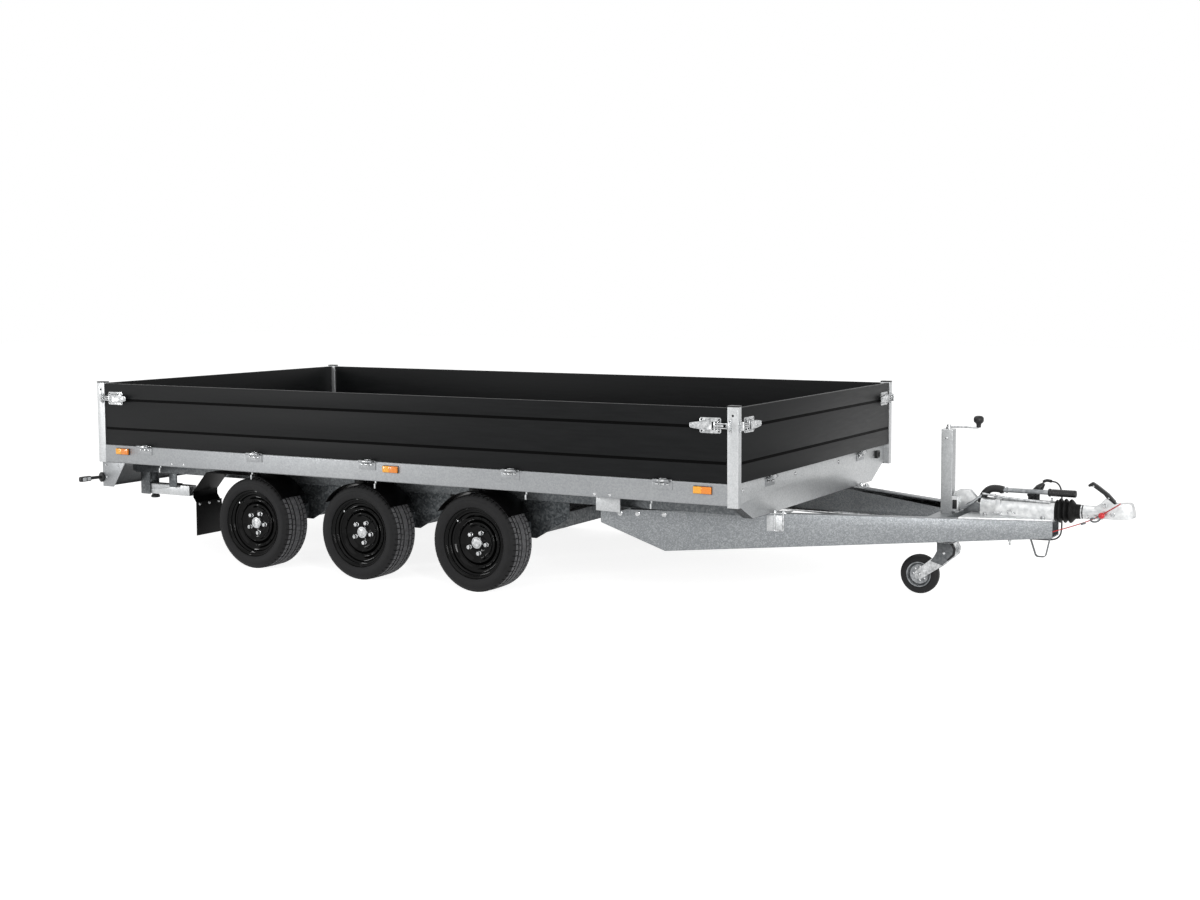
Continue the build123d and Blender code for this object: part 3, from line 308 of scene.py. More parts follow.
@dataclass(frozen=True)
class FilmPly(Finish):
    """Birch plywood under a hot-pressed phenolic film: satin, the veneer's grain faint beneath.

    A walked-on board has a wire mesh pressed into the film, drawn at its real 7 mm.
    """

    deep: str
    worn: str
    roughness: float
    mesh: float = 0.0
    specular: float = 0.3

    def surface(self, tree: Tree, place: Socket) -> bpy.types.Node:
        """Makes the shader: grain drawn out along the board, and the mesh as bump.

        Args:
            tree: the material's tree.
            place: the piece's Object coordinates.

        Returns:
            The shader node.
        """
        drawn_out = add_node(
            tree, "ShaderNodeMapping", {"Scale": (0.1, 0.1, 1.0)}, {"Vector": place}
        )
        grain = add_node(
            tree, "ShaderNodeTexNoise", {"Scale": per_mm(14.0), "Detail": 6.0, "Roughness": 0.6},
            {"Vector": drawn_out.outputs["Vector"]},
        )
        colour = add_node(
            tree, "ShaderNodeValToRGB", blend_of(self.deep, self.worn, 0.35, 0.72),
            {"Fac": grain.outputs["Fac"]},
        )
        gloss = add_node(
            tree, "ShaderNodeMapRange",
            {"To Min": self.roughness - 0.06, "To Max": self.roughness + 0.1},
            {"Value": grain.outputs["Fac"]},
        )
        wires = add_node(
            tree, "ShaderNodeTexVoronoi",
            {"Scale": per_mm(self.mesh or 3.0), "Randomness": 0.0 if self.mesh else 1.0},
            {"Vector": place},
        )
        relief = add_node(
            tree, "ShaderNodeBump",
            {"Strength": 0.8 if self.mesh else 0.06, "Distance": 0.0006},
            {"Height": wires.outputs["Distance"]},
        )
        return add_node(
            tree, "ShaderNodeBsdfPrincipled", {"Specular IOR Level": self.specular},
            {
                "Base Color": colour.outputs["Color"],
                "Roughness": gloss.outputs["Result"],
                "Normal": relief.outputs["Normal"],
            },
        )


@dataclass(frozen=True)
class Lens(Finish):
    """Moulded acrylic over a prismatic back: saturated and glossy, crossed by fine cells."""

    shade: str
    light: str
    cell: float = 5.0

    def surface(self, tree: Tree, place: Socket) -> bpy.types.Node:
        """Makes the shader, each prism dark at its edges and bright in its middle.

        Args:
            tree: the material's tree.
            place: the piece's Object coordinates.

        Returns:
            The shader node.
        """
        prisms = add_node(
            tree, "ShaderNodeTexVoronoi",
            {"Scale": per_mm(self.cell), "Randomness": 0.0, "distance": "CHEBYCHEV"},
            {"Vector": place},
        )
        colour = add_node(
            tree, "ShaderNodeValToRGB", blend_of(self.light, self.shade, 0.1, 0.6),
            {"Fac": prisms.outputs["Distance"]},
        )
        relief = add_node(
            tree, "ShaderNodeBump", {"Strength": 0.4, "Distance": 0.0008},
            {"Height": prisms.outputs["Distance"]},
        )
        return add_node(
            tree, "ShaderNodeBsdfPrincipled",
            {"Roughness": 0.16, "Coat Weight": 0.6, "Coat Roughness": 0.04},
            {"Base Color": colour.outputs["Color"], "Normal": relief.outputs["Normal"]},
        )


class Slot(Enum):
    """The record's material slots."""

    RIM = "galvanised_rim"
    POST = "galvanised_post"
    FRAME = "galvanised_frame"
    PANEL = "front_sheet"
    DRAWBAR = "drawbar_zinc"
    AXLE = "axle_zinc"
    ZINC = "zinc_plate"
    CAST = "cast_zinc"
    BOARD = "board_ply"
    DECK = "deck_ply"
    PLASTIC = "black_plastic"
    GUARD = "guard_plastic"
    FLAP = "flap_rubber"
    TYRE = "tyre"
    WHEEL = "black_steel"
    JOCKEY_TYRE = "jockey_rubber"
    JOCKEY_RIM = "jockey_rim"
    RED = "red_lens"
    AMBER = "amber_lens"
    RED_CABLE = "red_cable"
    BLACK_CABLE = "black_cable"


FINISHES: dict[Slot, Finish] = {
    # Dipped zinc on long sheet: an even pale grey, its crystals barely told apart.
    Slot.RIM: Galvanised("hot_dip_galvanised_rim", "919395", "989A9C", "A1A3A4", 6.0),
    # Dipped zinc on the posts: the palest grey of all, with a soft bright face.
    Slot.POST: Galvanised("hot_dip_galvanised_post", "BABCBD", "C3C5C6", "CCCDCE", 6.0),
    # Dipped zinc under the bed: dull dark grey with clearer crystals; the grey is darkened as
    # painted shade for the shade beneath the bed.
    Slot.FRAME: Galvanised("hot_dip_galvanised_section", "505355", "5F6264", "717476", 8.0),
    # Folded zinc sheet: smooth light grey that takes a broad gradient.
    Slot.PANEL: Galvanised("galvanised_folded_sheet", "AFB1B2", "BABCBD", "C6C7C8", 6.0),
    # Dipped zinc on the heavy tube: mid grey, with a fine close mottle.
    Slot.DRAWBAR: Galvanised(
        "galvanised_drawbar_tube", "7D8083", "888B8D", "9C9FA1", 5.0, clouding=0.35
    ),
    # Dipped zinc on the axles: dark, blotched and hardly shining; the darkness is painted shade for
    # the shade beneath the bed.
    Slot.AXLE: Galvanised("galvanised_axle_tube", "34373A", "464A4C", "66696B", 10.0),
    # Plated zinc: bright, sharp glints with dark reflections between them.
    Slot.ZINC: Skin("bright_zinc_plate", "969899", "D9DADB", 0.24, 1.0, drift=16.0, grit=3.0),
    # Cast aluminium: near white and silky over a fine sand grain.
    Slot.CAST: Skin(
        "sand_cast_aluminium", "BBBDBE", "DFE0E0", 0.36, 0.92, drift=24.0, grit=1.8, depth=0.0005
    ),
    # Filmed birch ply: near black, with a low sheen and faint drawn-out grain.
    Slot.BOARD: FilmPly("film_faced_birch_ply", "0E0F10", "161718", 0.46, specular=0.14),
    # Meshed deck ply: brown-black, its pressed mesh breaking up the shine.
    Slot.DECK: FilmPly("mesh_faced_deck_ply", "241D18", "33291F", 0.5, 7.0),
    # Moulded nylon: black with a soft grey highlight.
    Slot.PLASTIC: Skin(
        "moulded_black_nylon", "0E0E0F", "19191A", 0.38, specular=0.4, drift=60.0, grit=1.4
    ),
    # Moulded polyethylene: black, with a long soft shine round each arch.
    Slot.GUARD: Skin(
        "rotomoulded_black_polyethylene", "050505", "0A0A0B", 0.3, specular=0.06, drift=60.0,
        grit=3.0
    ),
    # Moulded rubber: black and almost without shine.
    Slot.FLAP: Skin("moulded_black_rubber", "0A0A0A", "121212", 0.5, specular=0.15, grit=1.6),
    # Tyre rubber: a matt near-black that takes no glint.
    Slot.TYRE: Skin("vulcanised_tyre_rubber", "101011", "1D1D1E", 0.66, specular=0.25, grit=1.6),
    # Enamelled steel: nearly black, with thin bright crescents on its rings.
    Slot.WHEEL: Skin(
        "black_gloss_enamel", "020202", "040404", 0.3, coat=0.28, specular=0.0, drift=60.0,
        grit=9.0, depth=0.00003
    ),
    # Solid rubber: matt black, a shade paler than the tyres.
    Slot.JOCKEY_TYRE: Skin("solid_black_rubber", "111112", "1E1E1F", 0.6, specular=0.3, grit=1.6),
    # Zinc-coated pressing: soft mid grey.
    Slot.JOCKEY_RIM: Skin(
        "zinc_coated_pressing", "6E7173", "A6A8AA", 0.36, 0.95, drift=24.0, depth=0.0003
    ),
    # Moulded acrylic: deep red with a grid of small prisms.
    Slot.RED: Lens("red_acrylic_lens", "7A0508", "C8141A"),
    # Moulded acrylic: strong orange with a grid of small prisms.
    Slot.AMBER: Lens("amber_acrylic_lens", "F07C00", "FF9A10", 4.0),
    # Vinyl over wire: a clear red line with a soft shine.
    Slot.RED_CABLE: Skin("red_vinyl_coated_wire", "A30F16", "D1202A", 0.4, grit=1.5),
    # Vinyl sheath: black with a narrow soft highlight.
    Slot.BLACK_CABLE: Skin("black_vinyl_sheath", "0E0E0F", "1A1A1B", 0.45, grit=1.5),
}
# Clear acrylic: pale grey-white, broken up by its prisms.
CLEAR = Lens("clear_acrylic_lens", "AEB2B5", "EDEFF0")
# Amber acrylic over a reflector: the marker's brighter, yellower half.
PALE_AMBER = Lens("pale_amber_acrylic_lens", "FF9E00", "FFBE2E", 4.0)
# Painted light on the tread: a pale grey on the rib tops, standing in for the light falling on
# them, against the black of the grooves.
TREAD_PAINTED_LIGHT = Skin("scuffed_tread_rubber", "58585A", "767678", 0.72, specular=0.3, drift=20.0, grit=1.6)
# Painted shade: the front panel's downward faces in dark grey, for the shade under its folds.
SHEET_PAINTED_SHADE = Galvanised("dulled_galvanised_sheet", "2C2E30", "3A3C3E", "4C4E50", 8.0)
# Weathered casting: dull mid grey.
WEATHERED = Skin("dull_zinc_casting", "5A5D5F", "77797B", 0.5, 0.9, drift=14.0, grit=3.0)
# Zinc on the drawn mast tube: smooth and even.
MAST_ZINC = Galvanised("galvanised_mast_tube", "A2A4A5", "ADAFB0", "B9BBBC", 5.0)
# Painted shade: the floor of a board's groove as a black line, for the shade inside the groove.
GROOVE_PAINTED_SHADE = Skin("unlit_board_groove", "020202", "050505", 0.7, specular=0.05)
# Painted shade: a dark grey set in the gaps between bright parts of the hinges, for the shadow
# there.
GAP_PAINTED_SHADE = Skin("shadowed_steel", "1B1C1D", "303234", 0.6, 0.4)
# Moulded nylon: bright glossy red.
SIGNAL_RED = Skin("red_moulded_nylon", "C0121A", "E8222B", 0.3, coat=0.3, grit=1.5)


class Stock:
    """The finishes that are in use, each made once."""

    made: dict[str, bpy.types.Material] = {}

    @classmethod
    def take(cls, finish: Finish) -> bpy.types.Material:
        """Gives a finish's material, made at its first use.

        Args:
            finish: the finish.

        Returns:
            Its material.
        """
        if finish.name not in cls.made:
            cls.made[finish.name] = finish.build()
        return cls.made[finish.name]


# ------------------------------------------------------------------ bench work


def activate(piece: Piece) -> Piece:
    """Leaves one piece selected and active, in object mode.

    Args:
        piece: the piece.

    Returns:
        The same piece.
    """
    bpy.ops.object.select_all(action="DESELECT")
    piece.select_set(True)
    bpy.context.view_layer.objects.active = piece
    return piece


def settle(piece: Piece, place: Matrix | None = None) -> Piece:
    """Puts a piece's place into its mesh.

    Args:
        piece: the piece, wherever its object stands.
        place: a further place, for a piece that was modelled about the origin.

    Returns:
        The same piece, its object at the origin.
    """
    activate(piece)
    bpy.ops.object.transform_apply(location=True, rotation=True, scale=True)
    if place is not None:
        piece.matrix_world = place
        bpy.ops.object.transform_apply(location=True, rotation=True, scale=True)
    return piece


def modify(piece: Piece, kind: str, **settings: object) -> Piece:
    """Adds a modifier to a piece and applies it.

    Args:
        piece: the piece.
        kind: the modifier's type.
        settings: its settings, by name.

    Returns:
        The same piece.
    """
    activate(piece)
    modifier = piece.modifiers.new(kind.lower(), kind)
    for key, value in settings.items():
        setattr(modifier, key, value)
    bpy.ops.object.modifier_apply(modifier=modifier.name)
    return piece


def smooth(piece: Piece, angle: float) -> Piece:
    """Shades a piece smooth, but for its sharp edges.

    Args:
        piece: the piece.
        angle: degrees past which an edge is sharp.

    Returns:
        The same piece.
    """
    activate(piece)
    bpy.ops.object.shade_smooth_by_angle(angle=math.radians(angle))
    return piece


def ease(piece: Piece, width: float, segments: int = 2, angle: float = 35.0) -> Piece:
    """Rounds a piece's sharp edges and smooths the rest.

    Args:
        piece: the piece.
        width: how far the rounding reaches from an edge.
        segments: facets across the rounding.
        angle: degrees past which an edge is sharp.

    Returns:
        The same piece.
    """
    modify(
        piece, "BEVEL", width=width, segments=segments, limit_method="ANGLE",
        angle_limit=math.radians(angle), use_clamp_overlap=True, harden_normals=False,
    )
    return smooth(piece, angle)


def pick(piece: Piece, rule: Rule) -> Piece:
    """Selects the faces that a rule keeps, by centre and normal, and stays in edit mode.

    Args:
        piece: the piece.
        rule: says whether a face with this centre and normal is selected.

    Returns:
        The same piece.
    """
    activate(piece)
    bpy.ops.object.mode_set(mode="EDIT")
    bpy.ops.mesh.select_mode(type="FACE")
    bpy.ops.mesh.select_all(action="DESELECT")
    bpy.ops.object.mode_set(mode="OBJECT")
    for face in piece.data.polygons:
        face.select = rule(face.center, face.normal)
    bpy.ops.object.mode_set(mode="EDIT")
    return piece


def leave(piece: Piece) -> Piece:
    """Cleans a piece's mesh, turns its faces outwards and leaves edit mode.

    Args:
        piece: the piece.

    Returns:
        The same piece.
    """
    if piece.mode == "OBJECT":
        activate(piece)
    bpy.ops.object.mode_set(mode="EDIT")
    bpy.ops.mesh.select_all(action="SELECT")
    bpy.ops.mesh.remove_doubles(threshold=MERGE_REACH)
    bpy.ops.mesh.normals_make_consistent(inside=False)
    bpy.ops.object.mode_set(mode="OBJECT")
    return piece


def grow(distance: float, inset: float = 0.0, each: bool = False) -> None:
    """Insets the selected faces and pushes them along their normals, in edit mode.

    Args:
        distance: how far they are pushed; less than 0 sinks them.
        inset: how far they shrink first.
        each: whether every face goes on its own.
    """
    if inset:
        bpy.ops.mesh.inset(thickness=inset, use_individual=each)
    bpy.ops.mesh.extrude_region_shrink_fatten(
        TRANSFORM_OT_shrink_fatten={"value": distance, "use_even_offset": True}
    )


def block(name: str, low: Point, high: Point) -> Piece:
    """A box between two corners, as the start of a piece.

    Args:
        name: the piece's name.
        low: one corner.
        high: the opposite corner.

    Returns:
        The box, with its place in its mesh.
    """
    centre = [(a + b) / 2 for a, b in zip(low, high)]
    size = [abs(b - a) for a, b in zip(low, high)]
    bpy.ops.mesh.primitive_cube_add(size=1.0, location=centre, scale=size)
    piece = bpy.context.object
    piece.name = name
    return settle(piece)


def bar(name: str, start: Point, end: Point, radius: float, sides: int = 32) -> Piece:
    """A round bar from one point to another, as the start of a piece.

    Args:
        name: the piece's name.
        start: the middle of one end.
        end: the middle of the other end.
        radius: its radius.
        sides: how many sides its section has.

    Returns:
        The bar, with its place in its mesh.
    """
    a, b = Vector(start), Vector(end)
    bpy.ops.mesh.primitive_cylinder_add(
        vertices=sides, radius=radius, depth=(b - a).length, location=(a + b) / 2,
        rotation=(b - a).to_track_quat("Z", "Y").to_euler(),
    )
    piece = bpy.context.object
    piece.name = name
    return settle(piece)


def trace(name: str, points: Sequence[Point], closed: bool) -> Piece:
    """Draws a line of edges by extruding one vertex from point to point.

    Args:
        name: the piece's name.
        points: the line's corners.
        closed: whether the last point joins the first and a face fills the line.

    Returns:
        The piece, left in edit mode with all of it selected.
    """
    bpy.ops.mesh.primitive_plane_add(size=0.01, location=points[0])
    piece = bpy.context.object
    piece.name = name
    settle(piece)
    bpy.ops.object.mode_set(mode="EDIT")
    bpy.ops.mesh.select_mode(type="VERT")
    bpy.ops.mesh.select_all(action="SELECT")
    bpy.ops.mesh.merge(type="CENTER")
    for before, after in zip(points, points[1:]):
        step = tuple(b - a for a, b in zip(before, after))
        bpy.ops.mesh.extrude_region_move(TRANSFORM_OT_translate={"value": step})
    bpy.ops.mesh.select_all(action="SELECT")
    if closed:
        bpy.ops.mesh.edge_face_add()
    return piece


def lathe(
    name: str, profile: Sequence[Spot], place: Matrix | None = None, steps: int = 48,
    sharp: float = 38.0,
) -> Piece:
    """Turns a profile about the X axis and puts it in its place.

    Args:
        name: the piece's name.
        profile: (distance along the axis, radius) points, closed where they meet the axis.
        place: where the turned piece goes.
        steps: facets round the axis.
        sharp: degrees past which an edge is sharp.

    Returns:
        The turned piece.
    """
    piece = trace(name, [(along, 0.0, radius) for along, radius in profile], False)
    bpy.ops.mesh.spin(steps=steps, angle=TURN, center=(0, 0, 0), axis=(1, 0, 0))
    leave(piece)
    return smooth(settle(piece, place), sharp)


def plate(name: str, shape: Sequence[Spot], thickness: float, place: Matrix | None = None) -> Piece:
    """Cuts a flat shape and gives it its thickness.

    Args:
        name: the piece's name.
        shape: the outline's corners in the plate's own X and Y.
        thickness: how far it rises along its own Z.
        place: where it goes.

    Returns:
        The plate.
    """
    piece = trace(name, [(x, y, 0.0) for x, y in shape], True)
    bpy.ops.mesh.extrude_region_move(TRANSFORM_OT_translate={"value": (0.0, 0.0, thickness)})
    return settle(leave(piece), place)


def route(name: str, points: Sequence[Point], radius: float, resolution: int = 12) -> Piece:
    """Lays a smooth round line over its control points, as a curve.

    Args:
        name: the piece's name.
        points: the line's control points.
        radius: the line's radius.
        resolution: steps between control points.

    Returns:
        The curve, its ends capped.
    """
    bpy.ops.curve.primitive_nurbs_path_add()
    piece = bpy.context.object
    piece.name = name
    piece.location = (0, 0, 0)
    curve = piece.data
    curve.splines.clear()
    spline = curve.splines.new("NURBS")
    spline.points.add(len(points) - 1)
    for knot, point in zip(spline.points, points):
        knot.co = (*point, 1.0)
    spline.order_u = 3
    spline.use_endpoint_u = True
    curve.resolution_u = resolution
    curve.bevel_depth = radius
    curve.bevel_resolution = 5
    curve.use_fill_caps = True
    return piece


def pipe(name: str, points: Sequence[Point], radius: float, resolution: int = 8) -> Piece:
    """Bends a round bar along a smooth line, as a mesh with closed ends.

    Args:
        name: the piece's name.
        points: the line's control points.
        radius: its radius.
        resolution: steps from one point to the next.

    Returns:
        The bent bar.
    """
    activate(route(name, points, radius, resolution))
    bpy.ops.object.convert(target="MESH")
    return smooth(leave(bpy.context.object), 50.0)


def cut(piece: Piece, tool: Piece) -> Piece:
    """Takes a tool's shape out of a piece and throws the tool away.

    Args:
        piece: the piece.
        tool: the shape to take out.

    Returns:
        The same piece.
    """
    modify(piece, "BOOLEAN", operation="DIFFERENCE", object=tool, solver="EXACT")
    bpy.data.objects.remove(tool)
    return piece


def join(name: str, pieces: Sequence[Piece]) -> Piece:
    """Makes one piece of several.

    Args:
        name: the joined piece's name.
        pieces: what is joined.

    Returns:
        The joined piece.
    """
    activate(pieces[0])
    for piece in pieces[1:]:
        piece.select_set(True)
    if len(pieces) > 1:
        bpy.ops.object.join()
    pieces[0].name = name
    return pieces[0]


def twin(piece: Piece, name: str, place: Matrix) -> Piece:
    """Copies a piece, with its own mesh, to another place.

    Args:
        piece: what is copied.
        name: the copy's name.
        place: where the copy goes, applied to its mesh.

    Returns:
        The copy.
    """
    copied = piece.copy()
    copied.data = piece.data.copy()
    copied.name = name
    bpy.context.collection.objects.link(copied)
    copied.data.transform(place)
    return copied


def strew(name: str, model: Piece, places: Sequence[Matrix]) -> Piece:
    """Copies one small piece to many places, joins the copies and throws the model away.

    Args:
        name: the joined piece's name.
        model: what is copied.
        places: where the copies go.

    Returns:
        The joined copies.
    """
    twins = [twin(model, f"{name}_{n}", place) for n, place in enumerate(places)]
    bpy.data.objects.remove(model)
    return join(name, twins)


def dress(piece: Piece, finish: Finish) -> Piece:
    """Gives a whole piece one finish.

    Args:
        piece: the piece.
        finish: its finish.

    Returns:
        The same piece.
    """
    piece.data.materials.clear()
    piece.data.materials.append(Stock.take(finish))
    return piece


def stand(origin: Point, along: Point, out: Point) -> Matrix:
    """A place whose X runs along one direction and whose Z points out along another.

    Args:
        origin: the place.
        along: where its X points.
        out: where its Z points.

    Returns:
        The place as a matrix.
    """
    x, z = Vector(along).normalized(), Vector(out).normalized()
    turned = Matrix((x, z.cross(x), z)).transposed().to_4x4()
    return Matrix.Translation(Vector(origin)) @ turned


def around(x: float, circle: float, count: int, turned: float = 0.0) -> list[Matrix]:
    """Places spread evenly round the X axis.

    Args:
        x: where they lie along X.
        circle: their circle's radius.
        count: how many there are.
        turned: the first one's turn from Z, in steps from one place to the next.

    Returns:
        The places.
    """
    angles = [TURN * (n + turned) / count for n in range(count)]
    return [Matrix.Translation((x, circle * math.sin(a), circle * math.cos(a))) for a in angles]


def hex_head(name: str, across: float, height: float, washer: float = 0.0) -> Piece:
    """A hexagon bolt head or nut, standing on the XY plane.

    Args:
        name: the piece's name.
        across: its size across its corners.
        height: its height.
        washer: the radius of the washer under it, or 0 for none.

    Returns:
        The head, chamfered on top.
    """
    base = 0.002 if washer else 0.0
    head = bar(name, (0, 0, base), (0, 0, base + height), across / 2, 6)
    pick(head, lambda centre, normal: normal.z > 0.9)
    grow(height * 0.14, across * 0.07)
    smooth(leave(head), 25.0)
    if not washer:
        return head
    ring = lathe(
        name + "_washer",
        [(0.0, 0.0), (0.0, washer), (base * 0.8, washer), (base, washer * 0.94), (base, 0.0)],
        UPRIGHT, 20,
    )
    return join(name, [head, ring])


def round_head(name: str, radius: float, height: float, steps: int = 16) -> Piece:
    """A rivet's or coach bolt's domed head, standing on the XY plane.

    Args:
        name: the piece's name.
        radius: its radius.
        height: how far it stands up.
        steps: facets round it.

    Returns:
        The head.
    """
    arc = [(height * math.sin(a), radius * math.cos(a)) for a in (0.3, 0.65, 1.0, 1.3)]
    profile = [(0.0, 0.0), (0.0, radius), *arc, (height, 0.0)]
    return lathe(name, profile, UPRIGHT, steps, 60.0)


# ------------------------------------------------------------------ the frame's own nodes

RECORD = frame["record"]
SLOT_OF = {part["node"]: Slot(part["material_slot"]) for part in RECORD["subparts"]}
BODY_OF = {node: body for body, nodes in RECORD["behaviour"]["bodies"].items() for node in nodes}
CHASSIS = "chassis"


def fit(piece: Piece, body: str, slot: Slot, *stands_for: str) -> Piece:
    """Hands a finished piece over to the frame.

    Args:
        piece: the finished piece.
        body: the body that it moves with.
        slot: the material slot that it takes its finish from.
        stands_for: CAD nodes that it is shown in place of.

    Returns:
        The same piece.
    """
    if not piece.data.materials:
        dress(piece, FINISHES[slot])
    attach(piece, body)
    if stands_for:
        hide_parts(*stands_for)
    log.info("%s rides on %s", piece.name, body)
    return piece


def copy_of(node: str, name: str) -> Piece:
    """Copies a CAD node and merges its triangles into faces, ready for work.

    Args:
        node: the CAD node.
        name: the copy's name.

    Returns:
        The copy, undressed.
    """
    source = frame["nodes"][node]
    piece = source.copy()
    piece.data = source.data.copy()
    piece.name = name
    piece.parent = None
    for key in list(piece.keys()):
        del piece[key]
    piece.matrix_world = Matrix.Identity(4)
    bpy.context.collection.objects.link(piece)
    piece.data.materials.clear()
    activate(piece)
    bpy.ops.mesh.customdata_custom_splitnormals_clear()
    bpy.ops.object.mode_set(mode="EDIT")
    bpy.ops.mesh.select_all(action="SELECT")
    bpy.ops.mesh.remove_doubles(threshold=MERGE_REACH)
    bpy.ops.mesh.dissolve_limited(angle_limit=math.radians(0.5))
    bpy.ops.object.mode_set(mode="OBJECT")
    return piece


def rework(node: str, width: float = 0.001, segments: int = 2, angle: float = 35.0) -> Piece:
    """Replaces a CAD node by a copy with its edges eased, in its own slot and on its own body.

    Args:
        node: the CAD node.
        width: how far the eased edges reach.
        segments: facets across an eased edge.
        angle: degrees past which an edge is sharp.

    Returns:
        The fitted copy.
    """
    piece = ease(copy_of(node, f"{node}_eased"), width, segments, angle)
    return fit(piece, BODY_OF[node], SLOT_OF[node], node)


def redress(node: str, finish: Finish, width: float) -> Piece:
    """Replaces a CAD node by an eased copy in another finish than its slot's.

    Args:
        node: the CAD node.
        finish: the copy's finish.
        width: how far the eased edges reach.

    Returns:
        The fitted copy.
    """
    piece = ease(copy_of(node, f"{node}_eased"), width)
    return fit(dress(piece, finish), BODY_OF[node], SLOT_OF[node], node)


# ------------------------------------------------------------------ studio


@dataclass
class Studio:
    """The camera, the soft light, the white surroundings and the pale floor."""

    eye: Point = (4.3442, -7.6244, 1.579)
    turned: Point = (math.pi / 2 - 0.0768, 0.0017, 0.4854)
    lens: float = 47.29
    shift: Spot = (-0.0513, -0.0387)
    sensor: float = 36.0
    sight: float = 200.0
    ambient: float = 0.5
    floor_size: float = 60.0

    def set_camera(self) -> None:
        """Stands the camera at the front right corner, a little above the deck."""
        bpy.ops.object.camera_add(location=self.eye, rotation=self.turned)
        camera = bpy.context.object
        camera.data.lens = self.lens
        camera.data.sensor_width = self.sensor
        camera.data.shift_x, camera.data.shift_y = self.shift
        camera.data.clip_end = self.sight
        bpy.context.scene.camera = camera
        bpy.context.scene.view_settings.view_transform = "Standard"

    def set_world(self) -> None:
        """Makes the surroundings white to the eye and plain soft light to everything else."""
        world = bpy.data.worlds.new("white_surroundings")
        bpy.context.scene.world = world
        world.use_nodes = True
        tree = world.node_tree
        tree.nodes.clear()
        seen = self.seen_directly(tree)
        strength = add_node(
            tree, "ShaderNodeMapRange", {"To Min": self.ambient, "To Max": 1.0}, {"Value": seen}
        )
        light = add_node(
            tree, "ShaderNodeBackground", {"Color": (1.0, 1.0, 1.0, 1.0)},
            {"Strength": strength.outputs["Result"]},
        )
        add_node(tree, "ShaderNodeOutputWorld", {}, {"Surface": light.outputs["Background"]})

    @staticmethod
    def seen_directly(tree: Tree) -> Socket:
        """One for a camera, glossy or transmission ray, and nought for the light's own bounces.

        Args:
            tree: the tree of the world or of a material.

        Returns:
            The socket that gives it.
        """
        ray = add_node(tree, "ShaderNodeLightPath")
        either = add_node(
            tree, "ShaderNodeMath", {"operation": "MAXIMUM"},
            {0: ray.outputs["Is Camera Ray"], 1: ray.outputs["Is Glossy Ray"]},
        )
        every = add_node(
            tree, "ShaderNodeMath", {"operation": "MAXIMUM"},
            {0: either.outputs["Value"], 1: ray.outputs["Is Transmission Ray"]},
        )
        return every.outputs["Value"]

    def set_lamps(self) -> None:
        """Hangs three large soft lamps, and two tall strips that put long glints on gloss."""
        lamps = (
            ("key", (0.5, -6.5, 5.0), (-0.2, 0.0, 0.5), 6.0, 6.0, 70.0),
            ("fill", (8.0, -2.5, 2.4), (0.5, 0.0, 0.4), 3.0, 3.0, 80.0),
            ("overhead", (-1.0, 1.0, 6.5), (-0.5, 0.0, 0.5), 6.0, 6.0, 110.0),
            ("strip_front", (5.5, -6.0, 2.0), (-0.9, -1.0, 0.3), 0.4, 3.4, 140.0),
            ("strip_rear", (-6.0, -6.0, 2.0), (-0.9, -1.0, 0.3), 0.4, 3.4, 110.0),
        )
        for name, place, target, width, height, watts in lamps:
            aim = (Vector(target) - Vector(place)).to_track_quat("-Z", "Y").to_euler()
            bpy.ops.object.light_add(type="AREA", location=place, rotation=aim)
            lamp = bpy.context.object
            lamp.name = name
            lamp.data.shape = "RECTANGLE"
            lamp.data.size, lamp.data.size_y = width, height
            lamp.data.energy = watts

    def lay_floor(self) -> None:
        """Lays the floor, which keeps the object's shadow and is white beyond it."""
        bpy.ops.mesh.primitive_plane_add(size=self.floor_size)
        floor = bpy.context.object
        floor.name = "studio_floor"
        material = bpy.data.materials.new("painted_studio_floor")
        material.use_nodes = True
        tree = material.node_tree
        tree.nodes.clear()
        paint = add_node(
            tree, "ShaderNodeBsdfDiffuse", {"Color": linear("E4E4E4"), "Roughness": 0.5}
        )
        half = add_node(
            tree, "ShaderNodeBsdfDiffuse", {"Color": linear("B4B4B4"), "Roughness": 0.5}
        )
        glow = add_node(
            tree, "ShaderNodeEmission", {"Color": (1.0, 1.0, 1.0, 1.0), "Strength": 0.86}
        )
        shown = add_node(
            tree, "ShaderNodeAddShader", {}, {0: half.outputs["BSDF"], 1: glow.outputs["Emission"]}
        )
        either = add_node(
            tree, "ShaderNodeMixShader", {},
            {0: self.seen_directly(tree), 1: paint.outputs["BSDF"], 2: shown.outputs["Shader"]},
        )
        add_node(tree, "ShaderNodeOutputMaterial", {}, {"Surface": either.outputs["Shader"]})
        floor.data.materials.append(material)

    def build(self) -> None:
        """Sets up the whole studio."""
        self.set_camera()
        self.set_world()
        self.set_lamps()
        self.lay_floor()
        log.info("studio ready")


# ------------------------------------------------------------------ cords


